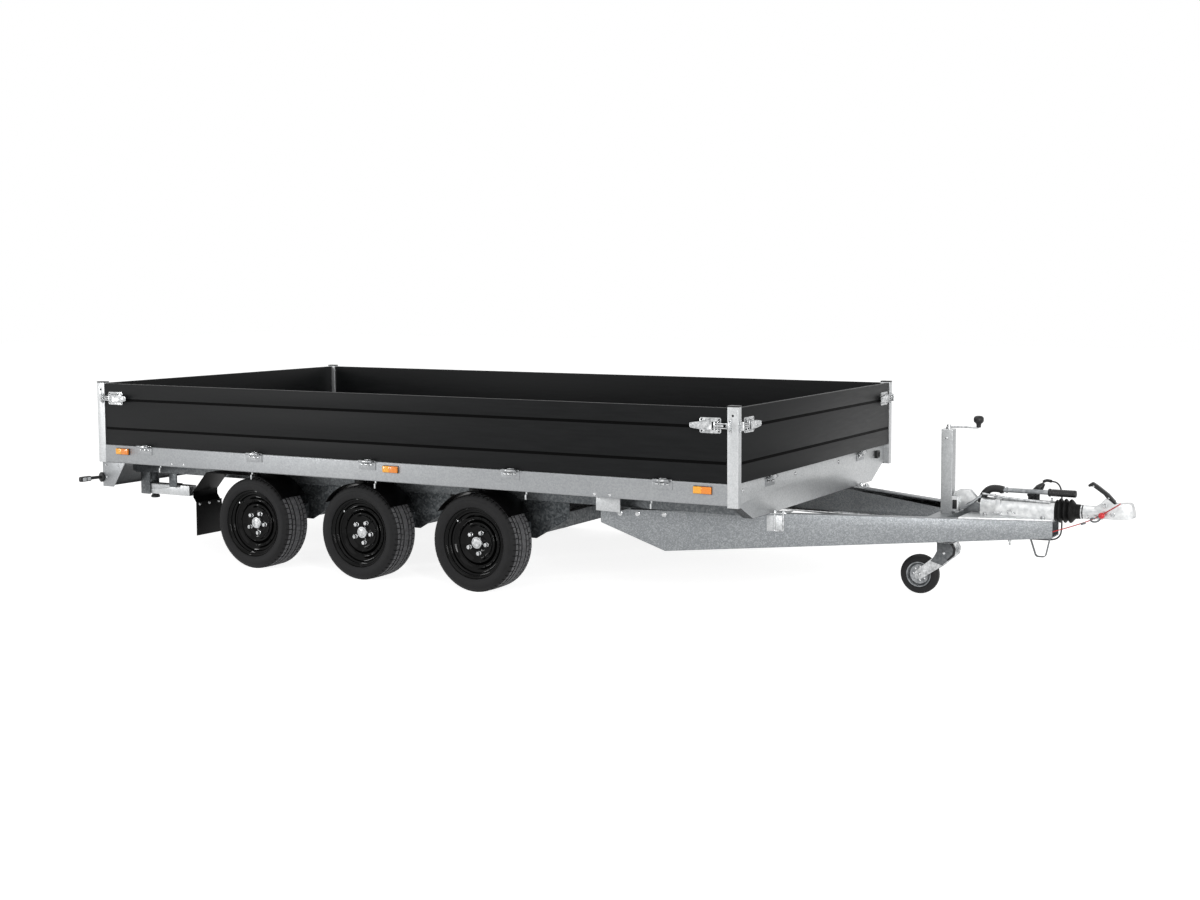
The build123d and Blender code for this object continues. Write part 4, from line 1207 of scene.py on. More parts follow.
@dataclass
class TowCords:
    """The plug's cable, hanging in a loop into the drawbar, and the red breakaway cable."""

    plug_radius: float = 0.004
    plug_length: float = 0.6
    breakaway_radius: float = 0.0025
    breakaway_length: float = 0.356
    plug_route: tuple[Point, ...] = (
        (2.447, 0.072, 0.600), (2.467, 0.072, 0.600), (2.485, 0.072, 0.588),
        (2.496, 0.072, 0.567), (2.500, 0.072, 0.538), (2.502, 0.072, 0.490),
        (2.501, 0.074, 0.438), (2.502, 0.075, 0.394), (2.501, 0.075, 0.360),
        (2.495, 0.074, 0.334), (2.478, 0.071, 0.318), (2.454, 0.065, 0.312),
        (2.420, 0.056, 0.312), (2.384, 0.048, 0.313), (2.344, 0.042, 0.313),
        (2.318, 0.039, 0.330), (2.304, 0.038, 0.360), (2.300, 0.038, 0.3935),
        (2.3008, 0.038, 0.4261),
    )
    breakaway_route: tuple[Point, ...] = (
        (2.490, -0.061, 0.372), (2.647, -0.052, 0.426), (2.734, -0.045, 0.476),
        (2.806, -0.039, 0.526),
    )

    def build(self) -> None:
        cable = route("plug_cable_sheath", self.plug_route, self.plug_radius)
        fit(cable, CHASSIS, Slot.BLACK_CABLE, "plug_cable")
        wire = route("breakaway_cable_wire", self.breakaway_route, self.breakaway_radius)
        fit(wire, CHASSIS, Slot.RED_CABLE, "breakaway_cable")


# ------------------------------------------------------------------ road wheels


class Side(Enum):
    """The two sides of the trailer, by the sign of their Y."""

    RIGHT = -1
    LEFT = 1

    @property
    def label(self) -> str:
        """The side's name, as the CAD nodes have it."""
        return self.name.lower()

    @property
    def out(self) -> Point:
        """The direction that points out of this side."""
        return (0.0, float(self.value), 0.0)


@dataclass
class RoadWheels:
    """Six steel wheels in black enamel with their tyres, each on its own axle end.

    A wheel is turned about X with X = 0 at the tyre's outer face, then put in its place. A lane
    of sipes says where it starts and ends across the tread, which step of the pitch its sipes
    fall on, and how far a sipe is inset and how deep it goes.
    """

    width: float = 0.190
    face: float = 1.045
    hub_height: float = 0.2525
    axle_runs: tuple[tuple[str, float], ...] = (
        ("front", -0.2185), ("middle", -0.955), ("rear", -1.6915),
    )
    steps: int = 216
    pitch: int = 4
    ribs: tuple[Spot, ...] = (
        (0.022, 0.0435), (0.0505, 0.0705), (0.0775, 0.1125), (0.1195, 0.1395), (0.1465, 0.168),
    )
    tread_radius: float = 0.2525
    groove_radius: float = 0.2455
    bolt_circle: float = 0.056
    bolts: int = 5
    vent_circle: float = 0.121
    vents: int = 16
    hub_depth: float = 0.054
    shoulder_radius: float = 0.2415
    scuff_depth: float = 0.0035
    lanes: tuple[tuple[float, float, int, float, float], ...] = (
        (0.011, 0.0435, 0, 0.0012, 0.0055), (0.1465, 0.179, 2, 0.0012, 0.0055),
        (0.0505, 0.0705, 1, 0.0018, 0.0045), (0.1195, 0.1395, 3, 0.0018, 0.0045),
        (0.0775, 0.1125, 2, 0.0024, 0.0030),
    )

    def tyre_profile(self) -> list[Spot]:
        """The tyre's section, from the outer bead round the tread to the inner bead.

        Returns:
            The section's corners, as (place along the axle, radius).
        """
        wall = [
            (0.021, 0.1682), (0.0175, 0.1835), (0.0085, 0.1845), (0.0052, 0.1880),
            (0.0032, 0.1935), (0.0036, 0.1945), (0.0018, 0.2000), (0.0004, 0.2080),
            (0.0000, 0.2150), (0.0005, 0.2220), (0.0016, 0.2235), (0.0010, 0.2250),
            (0.0036, 0.2325), (0.0090, 0.2405), (0.0145, 0.2462), (0.0200, 0.2497),
        ]
        crown = []
        for start, end in self.ribs:
            fall = 0.0018 * (abs((start + end) / 2 - self.width / 2) / 0.07) ** 2
            radius = self.tread_radius - fall
            crown += [
                (start + 0.0004, self.groove_radius), (start, radius), (end, radius),
                (end - 0.0004, self.groove_radius),
            ]
        crown = crown[1:-1]
        far_wall = [(self.width - depth, radius) for depth, radius in reversed(wall)]
        return [(-depth, radius) for depth, radius in [*wall, *crown, *far_wall, wall[0]]]

    def tyre(self) -> Piece:
        """Turns a tyre and cuts its cross grooves and sipes, a rib at a time.

        Returns:
            The model that the six tyres copy.
        """
        tyre = trace("tyre_model", [(x, 0.0, r) for x, r in self.tyre_profile()], False)
        bpy.ops.mesh.spin(steps=self.steps, angle=TURN, center=(0, 0, 0), axis=(1, 0, 0))
        leave(tyre)
        for low, high, phase, inset, depth in self.lanes:
            def in_lane(centre: Vector, normal: Vector) -> bool:
                """Whether a face lies in this lane and on one of its sipes.

                Args:
                    centre: the face's centre.
                    normal: its normal.

                Returns:
                    True for a face to push in.
                """
                step = round(math.atan2(centre.y, centre.z) / TURN * self.steps - 0.5)
                radius = math.hypot(centre.y, centre.z)
                return (
                    low < -centre.x < high and radius > self.shoulder_radius
                    and step % self.pitch == phase
                    and abs(normal.x) < 0.75
                )

            pick(tyre, in_lane)
            grow(-depth, inset)
            bpy.ops.object.mode_set(mode="OBJECT")
        dress(tyre, FINISHES[Slot.TYRE])
        # Painted light: rib-top faces take the pale tread finish, standing in for the light falling
        # on the tread.
        tyre.data.materials.append(Stock.take(TREAD_PAINTED_LIGHT))
        for face in tyre.data.polygons:
            radius = math.hypot(face.center.y, face.center.z)
            level = abs(face.normal.x) < 0.5 and radius > self.tread_radius - self.scuff_depth
            face.material_index = int(level)
        return smooth(tyre, 32.0)

    def rim(self) -> Piece:
        """Turns a wheel's rim and disc in one, and sets the ring of lipped vents in the disc.

        Returns:
            The model that the six wheels copy.
        """
        profile = [
            (0.0545, 0.0), (0.0545, 0.046), (0.0520, 0.050), (0.0530, 0.064), (0.0545, 0.074),
            (0.0520, 0.083), (0.0440, 0.092), (0.0400, 0.0965), (0.0385, 0.100),
            (0.0395, 0.1035), (0.0440, 0.1080), (0.0530, 0.1130), (0.0580, 0.1180),
            (0.0590, 0.1260), (0.0560, 0.1330), (0.0490, 0.1390), (0.0455, 0.1430),
            (0.0465, 0.1480), (0.0440, 0.1540), (0.0340, 0.1570), (0.0300, 0.1610),
            (0.0285, 0.1665), (0.0200, 0.1700), (0.0150, 0.1735), (0.0135, 0.1780),
            (0.0120, 0.1805), (0.0128, 0.1825), (0.0150, 0.1830), (0.0172, 0.1815),
            (0.0190, 0.1740), (0.0220, 0.1676), (0.0400, 0.1672), (0.1500, 0.1672),
            (0.1710, 0.1676), (0.1740, 0.1740), (0.1770, 0.1815), (0.1785, 0.1800),
            (0.1770, 0.1700), (0.1720, 0.1640), (0.0700, 0.1620), (0.0640, 0.1500),
            (0.0640, 0.1250), (0.0600, 0.1120), (0.0480, 0.1000), (0.0580, 0.0860),
            (0.0600, 0.0700), (0.0600, 0.0),
        ]
        rim = lathe("rim_model", [(-depth, radius) for depth, radius in profile], None, 96)
        eye = lathe(
            "vent_eye", [(0, 0), (0, 0.0060), (0.0022, 0.0068), (0.0022, 0.0082), (0, 0.0092),
                         (-0.003, 0.0092), (-0.003, 0)], None, 16,
        )
        places = around(-0.0585, self.vent_circle, self.vents, 0.25)
        rim = join("rim_model", [rim, strew("vent_eyes", eye, places)])
        return dress(rim, FINISHES[Slot.WHEEL])

    def brightwork(self) -> Piece:
        """Makes a wheel's five bolts, its hub cap and its valve.

        Returns:
            The model that the six wheels copy.
        """
        bolt = lathe(
            "wheel_bolt",
            [(0, 0), (0, 0.0142), (0.004, 0.0142), (0.0085, 0.0112), (0.0095, 0.0098), (0.0095, 0)],
            None, 24,
        )
        head = hex_head("wheel_bolt_head", 0.0215, 0.012)
        settle(head, stand((0.0085, 0, 0), (0, 0, 1), (1, 0, 0)))
        bolt = join("wheel_bolt", [bolt, head])
        places = around(-self.hub_depth, self.bolt_circle, self.bolts, 0.36)
        bolts = strew("wheel_bolts", bolt, places)
        cap = lathe(
            "hub_cap",
            [
                (-0.0545, 0.0), (-0.0545, 0.0330), (-0.0400, 0.0315), (-0.0375, 0.0295),
                (-0.0372, 0.0245), (-0.0392, 0.0232), (-0.0392, 0.0215), (-0.0372, 0.0200),
                (-0.0362, 0.0120), (-0.0360, 0.0),
            ], None, 40,
        )
        valve = lathe(
            "valve", [(0, 0), (0, 0.0062), (0.010, 0.0055), (0.012, 0.0040), (0.026, 0.0040),
                      (0.027, 0)],
            Matrix.Translation((-0.052, 0.0, 0.0)), 16,
        )
        valve.data.transform(Matrix.Translation((0.0, -0.107, 0.107)))
        return dress(join("brightwork_model", [bolts, cap, valve]), FINISHES[Slot.ZINC])

    def build(self) -> None:
        """Models one wheel and copies it to all six axle ends."""
        models = {
            "tyre_treaded": (self.tyre(), Slot.TYRE, ("tyre",)),
            "wheel_enamelled": (self.rim(), Slot.WHEEL, ("wheel",)),
            "wheel_brightwork": (self.brightwork(), Slot.ZINC, ()),
        }
        for row, run in self.axle_runs:
            for side in Side:
                place = stand((run, side.value * self.face, self.hub_height), side.out, (0, 0, 1))
                stem = f"{row}_{side.label}"
                for name, (model, slot, nodes) in models.items():
                    piece = twin(model, f"{stem}_{name}", place)
                    fit(piece, f"{stem}_roller", slot, *(f"{stem}_{node}" for node in nodes))
        for model, _, _ in models.values():
            bpy.data.objects.remove(model)


# ------------------------------------------------------------------ drop sides


@dataclass
class Face:
    """One face of the bed: where its board's outer face is, and which way it looks.

    Its hinges are places along the board. The screws' foot and the fold are how far the screws
    and the hinges' eyes stand out of the board's outer face, less than 0 for behind it.
    """

    name: str
    origin: Point
    along: Point
    out: Point
    half: float
    hinges: tuple[float, ...]
    screw_foot: float
    screw_level: float
    fold: float = 0.0

    @property
    def body(self) -> str:
        """The body of this face's board."""
        return f"{self.name}_side"

    def place(self, u: float, v: float, w: float) -> Matrix:
        """A place on the face: u along the board, v above the ground, w out of the board."""
        x, y, z = (a + u * b + w * c for a, b, c in zip(self.origin, self.along, self.out))
        return stand((x, y, z + v), self.along, self.out)


FACES: tuple[Face, ...] = (
    Face("right", (-0.785, -1.046, 0.0), (1, 0, 0), (0, -1, 0), 2.002,
         (-1.6925, -0.8705, -0.0915, 0.8045, 1.6645), 0.003, 0.617),
    Face("left", (-0.785, 1.046, 0.0), (-1, 0, 0), (0, 1, 0), 2.002,
         (1.6925, 0.8705, 0.0915, -0.8045, -1.6645), 0.003, 0.617),
    Face("front", (1.271, 0.0, 0.0), (0, 1, 0), (1, 0, 0), 1.012,
         (-0.620, 0.620), -0.024, 0.607, -0.026),
    Face("rear", (-2.841, 0.0, 0.0), (0, -1, 0), (-1, 0, 0), 1.012,
         (-0.700, 0.0, 0.700), -0.005, 0.617),
)


@dataclass
class DropSides:
    """Four boards in black film, with their over-centre latches, catches and hinges."""

    latch_level: float = 0.914
    latch_from_end: float = 0.030
    plate_length: float = 0.112
    plate_half_height: float = 0.037
    plate_thickness: float = 0.003
    corner: float = 0.006
    cheek_half: float = 0.0205
    link_spread: float = 0.0105
    lever_end: float = 0.156
    catch_from_latch: float = 0.038
    catch_half_height: float = 0.031
    catch_out: float = 0.026
    bolt_reach: float = 0.047
    leaf_top: float = 0.6515
    leaf_half: float = 0.052
    knuckle_half: float = 0.037
    knuckle_level: float = 0.626
    latch_floor: float = 0.8
    groove_depth: float = 0.0015
    groove_reach: float = 0.0012
    groove_levels: Spot = (0.66, 0.97)

    def latch_plate(self) -> Piece:
        """Presses the latch's base plate: clipped corners, four holes and two raised lugs.

        Returns:
            The plate, with its two lugs.
        """
        length, half, c = self.plate_length, self.plate_half_height, self.corner
        shape = [
            (-length + c, -half), (-c, -half), (0, -half + c), (0, half - c), (-c, half),
            (-length + c, half), (-length, half - c), (-length, -half + c),
        ]
        base = plate("latch_plate", shape, self.plate_thickness)
        hole = bar("latch_hole", (0, 0, -0.01), (0, 0, 0.01), 0.0042, 20)
        spots = [(-length + 0.011, -half + 0.010), (-length + 0.011, half - 0.010),
                 (-0.011, -half + 0.010), (-0.011, half - 0.010)]
        cut(base, strew("latch_holes", hole, [Matrix.Translation((x, y, 0)) for x, y in spots]))
        ease(base, 0.0007, 2)
        lug = block("latch_lug", (-0.011, -0.0028, 0.001), (0.011, 0.0028, 0.0065))
        ease(lug, 0.0018, 3)
        lugs = strew("latch_lugs", lug, [
            Matrix.Translation((-0.072, y, 0)) for y in (-0.0275, 0.0275)
        ])
        return join("latch_base", [base, lugs])

    def latch_cheeks(self) -> Piece:
        """Bends up the two cheeks that carry the latch's pivot, with the pivot and its rivets.

        Returns:
            The cheeks and their pins, as one piece.
        """
        parts = []
        for sign in (-1, 1):
            shape = [(-0.060, 0.0), (-0.010, 0.0), (-0.006, 0.012), (-0.018, 0.019),
                     (-0.040, 0.019), (-0.056, 0.010)]
            place = stand((0, sign * self.cheek_half + 0.00125, self.plate_thickness),
                          (1, 0, 0), (0, -1, 0))
            parts.append(ease(plate("latch_cheek", shape, 0.0025, place), 0.0006, 2))
        for x, z, radius in ((-0.030, 0.0145, 0.0042), (-0.016, 0.0105, 0.0032)):
            reach = self.cheek_half + 0.0035
            pin = bar("latch_pin", (x, -reach, z), (x, reach, z), radius, 20)
            parts.append(ease(pin, 0.0008, 2))
        return join("latch_cheeks", parts)

    def latch_lever(self) -> Piece:
        """Presses the long tapering lever, with a sunk oval where the thumb goes.

        Returns:
            The lever.
        """
        shape = [
            (-self.lever_end, -0.0085), (-0.150, -0.0125), (-0.108, -0.0180), (-0.092, -0.0192),
            (-0.040, -0.0192), (-0.040, 0.0192), (-0.092, 0.0192), (-0.108, 0.0180),
            (-0.150, 0.0125), (-self.lever_end, 0.0085),
        ]
        lever = plate("latch_lever", shape, 0.008, Matrix.Translation((0, 0, 0.0135)))
        pick(lever, lambda centre, normal: normal.z > 0.9)
        grow(-0.0016, 0.0042)
        leave(lever)
        ease(lever, 0.0009, 2)
        thumb = lathe(
            "latch_thumb", [(0.0, 0.0), (0.0, 0.0085), (0.0018, 0.0080), (0.0030, 0.0055),
                            (0.0034, 0.0)],
            Matrix.Translation((-0.118, 0, 0.0195)) @ Matrix.Diagonal((2.3, 1.0, 1.0, 1.0))
            @ UPRIGHT, 28,
        )
        return join("latch_lever", [lever, thumb])

    def latch_links(self) -> Piece:
        """Makes the two link bars that reach over to the catch, and the bar that joins them.

        Returns:
            The three bars, as one piece.
        """
        reach = self.catch_from_latch - 0.001
        parts = [
            bar("latch_link", (-0.030, y, 0.0140), (reach, y, 0.0140), 0.0034, 20)
            for y in (-self.link_spread, self.link_spread)
        ]
        parts.append(
            bar("latch_tie", (reach - 0.004, -0.014, 0.014), (reach - 0.004, 0.014, 0.014),
                0.0034, 20)
        )
        parts.append(
            bar("latch_spring", (-0.028, 0, 0.0135), (0.018, 0, 0.0135), 0.0052, 20)
        )
        return join("latch_links", [ease(part, 0.0007, 2) for part in parts])

    def catch(self) -> Piece:
        """Makes a catch: a foot on the post with a claw that turns back over the links.

        Returns:
            The catch.
        """
        half, out = self.catch_half_height, self.catch_out
        foot = ease(block("catch_foot", (0, -half, 0.004), (0.016, half, 0.0085)), 0.0012, 2)
        claw_shape = [
            (0.0005, 0.006), (0.0155, 0.006), (0.0155, out - 0.009), (0.012, out - 0.002),
            (0.006, out), (0.0005, out - 0.004), (0.0005, out - 0.008), (0.005, out - 0.008),
            (0.0055, 0.014), (0.0005, 0.0125),
        ]
        claw = plate("catch_claw", claw_shape, 0.042, stand((0, 0.021, 0), (1, 0, 0), (0, -1, 0)))
        ease(claw, 0.0016, 3)
        screw = round_head("catch_screw", 0.0045, 0.0024)
        screws = strew("catch_screws", screw, [
            Matrix.Translation((0.008, y, 0.0085)) for y in (-0.026, 0.026)
        ])
        return join("catch_model", [foot, claw, screws])

    def hinge_leaves(self, face: Face) -> Piece:
        """Copies a face's CAD fittings and cuts their latches away, leaving the hinge leaves.

        Args:
            face: the face.

        Returns:
            The leaves.
        """
        leaves = copy_of(f"{face.name}_board_fittings", f"{face.name}_hinge_leaves")
        pick(leaves, lambda centre, normal: centre.z > self.latch_floor)
        bpy.ops.mesh.delete(type="FACE")
        bpy.ops.mesh.select_all(action="SELECT")
        if face.name != "front":
            bpy.ops.mesh.bisect(
                plane_co=(0.0, 0.0, self.leaf_top), plane_no=(0.0, 0.0, 1.0), use_fill=True,
                clear_outer=True,
            )
        bpy.ops.object.mode_set(mode="OBJECT")
        return ease(leaves, 0.0009, 2)

    def hinge_knuckle(self) -> Piece:
        """Rolls a hinge's eyes round its pin: a wide thin leaf over two eyes and a tongue.

        Returns:
            The hinge, as one piece.
        """
        half = self.knuckle_half
        leaf = block("hinge_leaf", (-self.leaf_half, 0.0145, 0.0002),
                     (self.leaf_half, 0.0205, 0.0062))
        parts = [ease(leaf, 0.0009, 2)]
        for start, end, radius in (
            (-half, -0.021, 0.0062), (-0.0135, 0.0135, 0.0078), (0.021, half, 0.0062),
        ):
            eye = bar("hinge_eye", (start, -0.001, 0.0052), (end, -0.001, 0.0052), radius, 20)
            parts.append(ease(eye, 0.0018, 3))
        tongue = block("hinge_tongue", (-0.0105, -0.019, 0.0010), (0.0105, 0.014, 0.0060))
        parts.append(ease(tongue, 0.0016, 2))
        for sign in (-1, 1):
            tab = block("hinge_tab", (sign * 0.027 - 0.0062, 0.002, 0.0010),
                        (sign * 0.027 + 0.0062, 0.018, 0.0060))
            foot = block("hinge_foot", (sign * 0.0285 - 0.0085, -0.0215, 0.0010),
                         (sign * 0.0285 + 0.0085, -0.0125, 0.0058))
            parts += [ease(tab, 0.0014, 2), ease(foot, 0.0016, 3)]
        return join("hinge_knuckle", parts)

    def board(self, face: Face) -> None:
        """Eases a face's board and blackens the floors of its grooves as painted shade.

        Args:
            face: the face.
        """
        board = ease(copy_of(f"{face.name}_board", f"{face.name}_board_film"), 0.0016, 2)
        dress(board, FINISHES[Slot.BOARD])
        # Painted shade: the groove floors take the black finish, for the shade inside the grooves.
        board.data.materials.append(Stock.take(GROOVE_PAINTED_SHADE))
        out = Vector(face.out)
        low, high = self.groove_levels
        for side in board.data.polygons:
            depth = -(side.center - Vector(face.origin)).dot(out)
            sunk = (
                abs(depth - self.groove_depth) < self.groove_reach
                and abs(side.normal.dot(out)) > 0.2 and low < side.center.z < high
            )
            side.material_index = int(sunk)
        fit(board, face.body, Slot.BOARD, f"{face.name}_board")

    def fittings(self) -> None:
        """Builds each face's latches, hinges and screws, and the catches on the posts."""
        latch = join("latch_model", [
            self.latch_plate(), self.latch_cheeks(), self.latch_lever(), self.latch_links(),
        ])
        catch = self.catch()
        catches = []
        flat_turn = Matrix.Rotation(math.pi, 4, "Z")
        screw = round_head("hinge_screw", 0.0075, 0.0034)
        knuckle = self.hinge_knuckle()
        half = self.knuckle_half
        # Painted shade: a dark block behind each hinge's eyes stands for the shadow in its gaps.
        shade_block = ease(block("hinge_gap", (-half, -0.016, 0.0), (half, 0.014, 0.0040)), 0.001)
        screws, shade_blocks = [], []
        for face in FACES:
            reach = face.half - self.latch_from_end
            parts = [self.hinge_leaves(face)]
            for sign, turned in ((1, Matrix.Identity(4)), (-1, flat_turn)):
                place = face.place(sign * reach, self.latch_level, 0.0) @ turned
                parts.append(twin(latch, f"{face.name}_latch", place))
                hold = face.place(
                    sign * (reach + self.catch_from_latch), self.latch_level, 0.0
                ) @ turned
                catches.append(twin(catch, f"{face.name}_catch", hold))
            for u in face.hinges:
                eye = face.place(u, self.knuckle_level, face.fold)
                parts.append(twin(knuckle, "hinge_knuckle", eye))
                shade_blocks.append(twin(shade_block, "hinge_gap", eye))
                for sign in (-1, 1):
                    spot = (u + sign * self.bolt_reach, face.screw_level, face.screw_foot)
                    screws.append(twin(screw, "hinge_screw", face.place(*spot)))
            fit(join(f"{face.name}_fittings_plated", parts), face.body, Slot.ZINC,
                f"{face.name}_board_fittings")
        fit(join("catches_plated", catches), CHASSIS, Slot.ZINC, "latch_catches")
        fit(dress(join("hinge_screws", screws), FINISHES[Slot.RIM]), CHASSIS, Slot.ZINC)
        fit(dress(join("hinge_gaps", shade_blocks), GAP_PAINTED_SHADE), CHASSIS, Slot.ZINC)
        redress("hinge_brackets", FINISHES[Slot.RIM], 0.0009)
        for model in (latch, catch, screw, knuckle, shade_block):
            bpy.data.objects.remove(model)

    def build(self) -> None:
        """Builds the boards, then their fittings."""
        for face in FACES:
            self.board(face)
        self.fittings()


# ------------------------------------------------------------------ bed and drawbar


@dataclass
class BedFrame:
    """The galvanised bed: posts and caps, rims, the folded front panel, and their fastenings."""

    cap_width: float = 0.0012
    panel_face: float = 1.244
    panel_bolts: tuple[Spot, ...] = (
        (-0.930, 0.600), (0.930, 0.600), (-0.300, 0.612), (0.300, 0.612),
    )
    post_hole_level: float = 0.962
    post_runs: Spot = (1.247, -2.817)
    post_face: float = 1.050
    rim_bolt_level: float = 0.553
    rim_bolts: tuple[float, ...] = (0.505, 0.590, -2.180, -2.270)

    def build(self) -> None:
        """Eases the frame's sections and adds the panel's bolts and the posts' holes."""
        for node, width in (
            ("bed_rims", 0.0022), ("long_members", 0.0012), ("cross_members", 0.0012),
            ("floor_panel", 0.0008), ("post_caps", self.cap_width),
        ):
            rework(node, width)
        panel = ease(copy_of("front_panel", "front_panel_eased"), 0.0020)
        dress(panel, FINISHES[Slot.PANEL])
        # Painted shade: faces that look downwards take the dark grey sheet finish.
        panel.data.materials.append(Stock.take(SHEET_PAINTED_SHADE))
        for face in panel.data.polygons:
            face.material_index = int(face.normal.z < -0.35)
        fit(panel, CHASSIS, Slot.PANEL, "front_panel")
        posts = copy_of("corner_posts", "corner_posts_drilled")
        drill = bar("post_drill", (0, 0, -0.006), (0, 0, 0.006), 0.0055, 20)
        places = [
            stand((x, side.value * self.post_face, self.post_hole_level), (1, 0, 0), side.out)
            for side in Side for x in self.post_runs
        ]
        cut(posts, strew("post_drills", drill, places))
        fit(ease(posts, 0.0025, 3), CHASSIS, Slot.POST, "corner_posts")
        bolt = round_head("panel_bolt", 0.011, 0.0055)
        bolts = strew("panel_bolts", bolt, [
            stand((self.panel_face, y, z), (0, 1, 0), (1, 0, 0)) for y, z in self.panel_bolts
        ])
        small = round_head("rim_bolt", 0.0075, 0.0035)
        rim_places = [
            stand((x, side.value * self.post_face, self.rim_bolt_level), (1, 0, 0), side.out)
            for x in self.rim_bolts for side in Side
        ]
        fit(join("bed_bolts", [bolts, strew("rim_bolts", small, rim_places)]), CHASSIS, Slot.ZINC)
        socket = ease(
            block("socket_bracket", (1.243, 0.855, 0.575), (1.262, 0.898, 0.618)), 0.003, 3
        )
        pick(socket, lambda centre, normal: normal.x > 0.95)
        grow(-0.004, 0.007)
        fit(ease(leave(socket), 0.0008), CHASSIS, Slot.PLASTIC)


@dataclass
class Drawbar:
    """The two channel rails with the U-bolts that clamp them under the front panel."""

    rail_end: float = 2.490
    end_half: float = 0.064
    slope: float = 0.43035
    rail_width: float = 0.050
    top_at_end: float = 0.422
    top_slope: float = 0.0218
    bottom_at_end: float = 0.339
    bottom_slope: float = 0.0481
    rod: float = 0.0045
    clamp_runs: Spot = (1.262, 1.300)
    clamp_drop: float = 0.085
    bolt_runs: tuple[float, ...] = (0.560, 0.640, 0.760)

    def outer(self, x: float) -> float:
        """Distance of the rails' outer faces from the middle, at a place along X."""
        return self.end_half + (self.rail_end - x) * self.slope

    def top(self, x: float) -> float:
        """Level of the rails' top, at a place along X."""
        return self.top_at_end + (self.rail_end - x) * self.top_slope

    def bottom(self, x: float) -> float:
        """Level of the rails' bottom, at a place along X."""
        return self.bottom_at_end - (self.rail_end - x) * self.bottom_slope

    def u_bolt(self, side: Side) -> Piece:
        """Bends the square U-bolt that hangs on a rail's outer face, and adds its two nuts.

        Args:
            side: the rail's side.

        Returns:
            The U-bolt with its nuts.
        """
        r, corner = self.rod, 0.009
        x0, x1 = self.clamp_runs
        low, high = self.top(x0) - self.clamp_drop, self.top(x0) + 0.016

        def on_face(x: float, z: float) -> Point:
            """A point of the rod's middle line, on the rail's outer face."""
            return (x, side.value * (self.outer(x) + r + 0.001), z)

        points = [
            on_face(x0, high), on_face(x0, (high + low) / 2), on_face(x0, low + corner),
            on_face(x0, low), on_face(x0 + corner, low), on_face(x1 - corner, low),
            on_face(x1, low), on_face(x1, low + corner), on_face(x1, (high + low) / 2),
            on_face(x1, high),
        ]
        parts = [pipe("u_bolt", points, r)]
        nut = hex_head("clamp_nut", 0.021, 0.009, 0.012)
        places = [on_face(x, self.top(x) + 0.004) for x in self.clamp_runs]
        parts.append(strew("clamp_nuts", nut, [Matrix.Translation(place) for place in places]))
        return join("u_bolt", parts)

    def clamp_plate(self, side: Side) -> Piece:
        """Makes the strap that lies on a rail under the U-bolts' nuts.

        Args:
            side: the rail's side.

        Returns:
            The strap.
        """
        x0, x1 = self.clamp_runs[0] - 0.018, self.clamp_runs[1] + 0.018
        reach = self.rail_width / math.cos(math.atan(self.slope))
        shape = [
            (x, side.value * y) for x, y in (
                (x0, self.outer(x0) + 0.018), (x1, self.outer(x1) + 0.018),
                (x1, self.outer(x1) - reach - 0.018), (x0, self.outer(x0) - reach - 0.018),
            )
        ]
        level = self.top((x0 + x1) / 2) + 0.0003
        return ease(plate("clamp_plate", shape, 0.005, Matrix.Translation((0, 0, level))), 0.001)

    def build(self) -> None:
        """Eases the rails and brackets, and clamps and bolts them up."""
        rework("drawbar_frame", 0.003, 3)
        redress("drawbar_brackets", FINISHES[Slot.PANEL], 0.001)
        parts = []
        for side in Side:
            parts.append(self.clamp_plate(side))
            parts.append(self.u_bolt(side))
        bolt = hex_head("rail_bolt", 0.020, 0.009, 0.012)
        places = [
            stand((x, side.value * self.outer(x), self.top(x) - 0.022),
                  (1, -side.value * self.slope, 0), (self.slope, side.value, 0))
            for x in self.bolt_runs for side in Side
        ]
        parts.append(strew("rail_bolts", bolt, places))
        tail = hex_head("stirrup_bolt", 0.018, 0.008, 0.012)
        under = self.bottom(2.297)
        parts.append(strew("stirrup_nuts", tail, [
            stand((2.297, side.value * 0.118, under), (1, 0, 0), (0, 0, -1)) for side in Side
        ]))
        parts.append(bar(
            "stirrup_stud", (2.297, -0.118, under), (2.297, -0.118, under - 0.028), 0.005, 16
        ))
        fit(join("drawbar_fastenings", parts), CHASSIS, Slot.ZINC)


# ------------------------------------------------------------------ overrun coupling


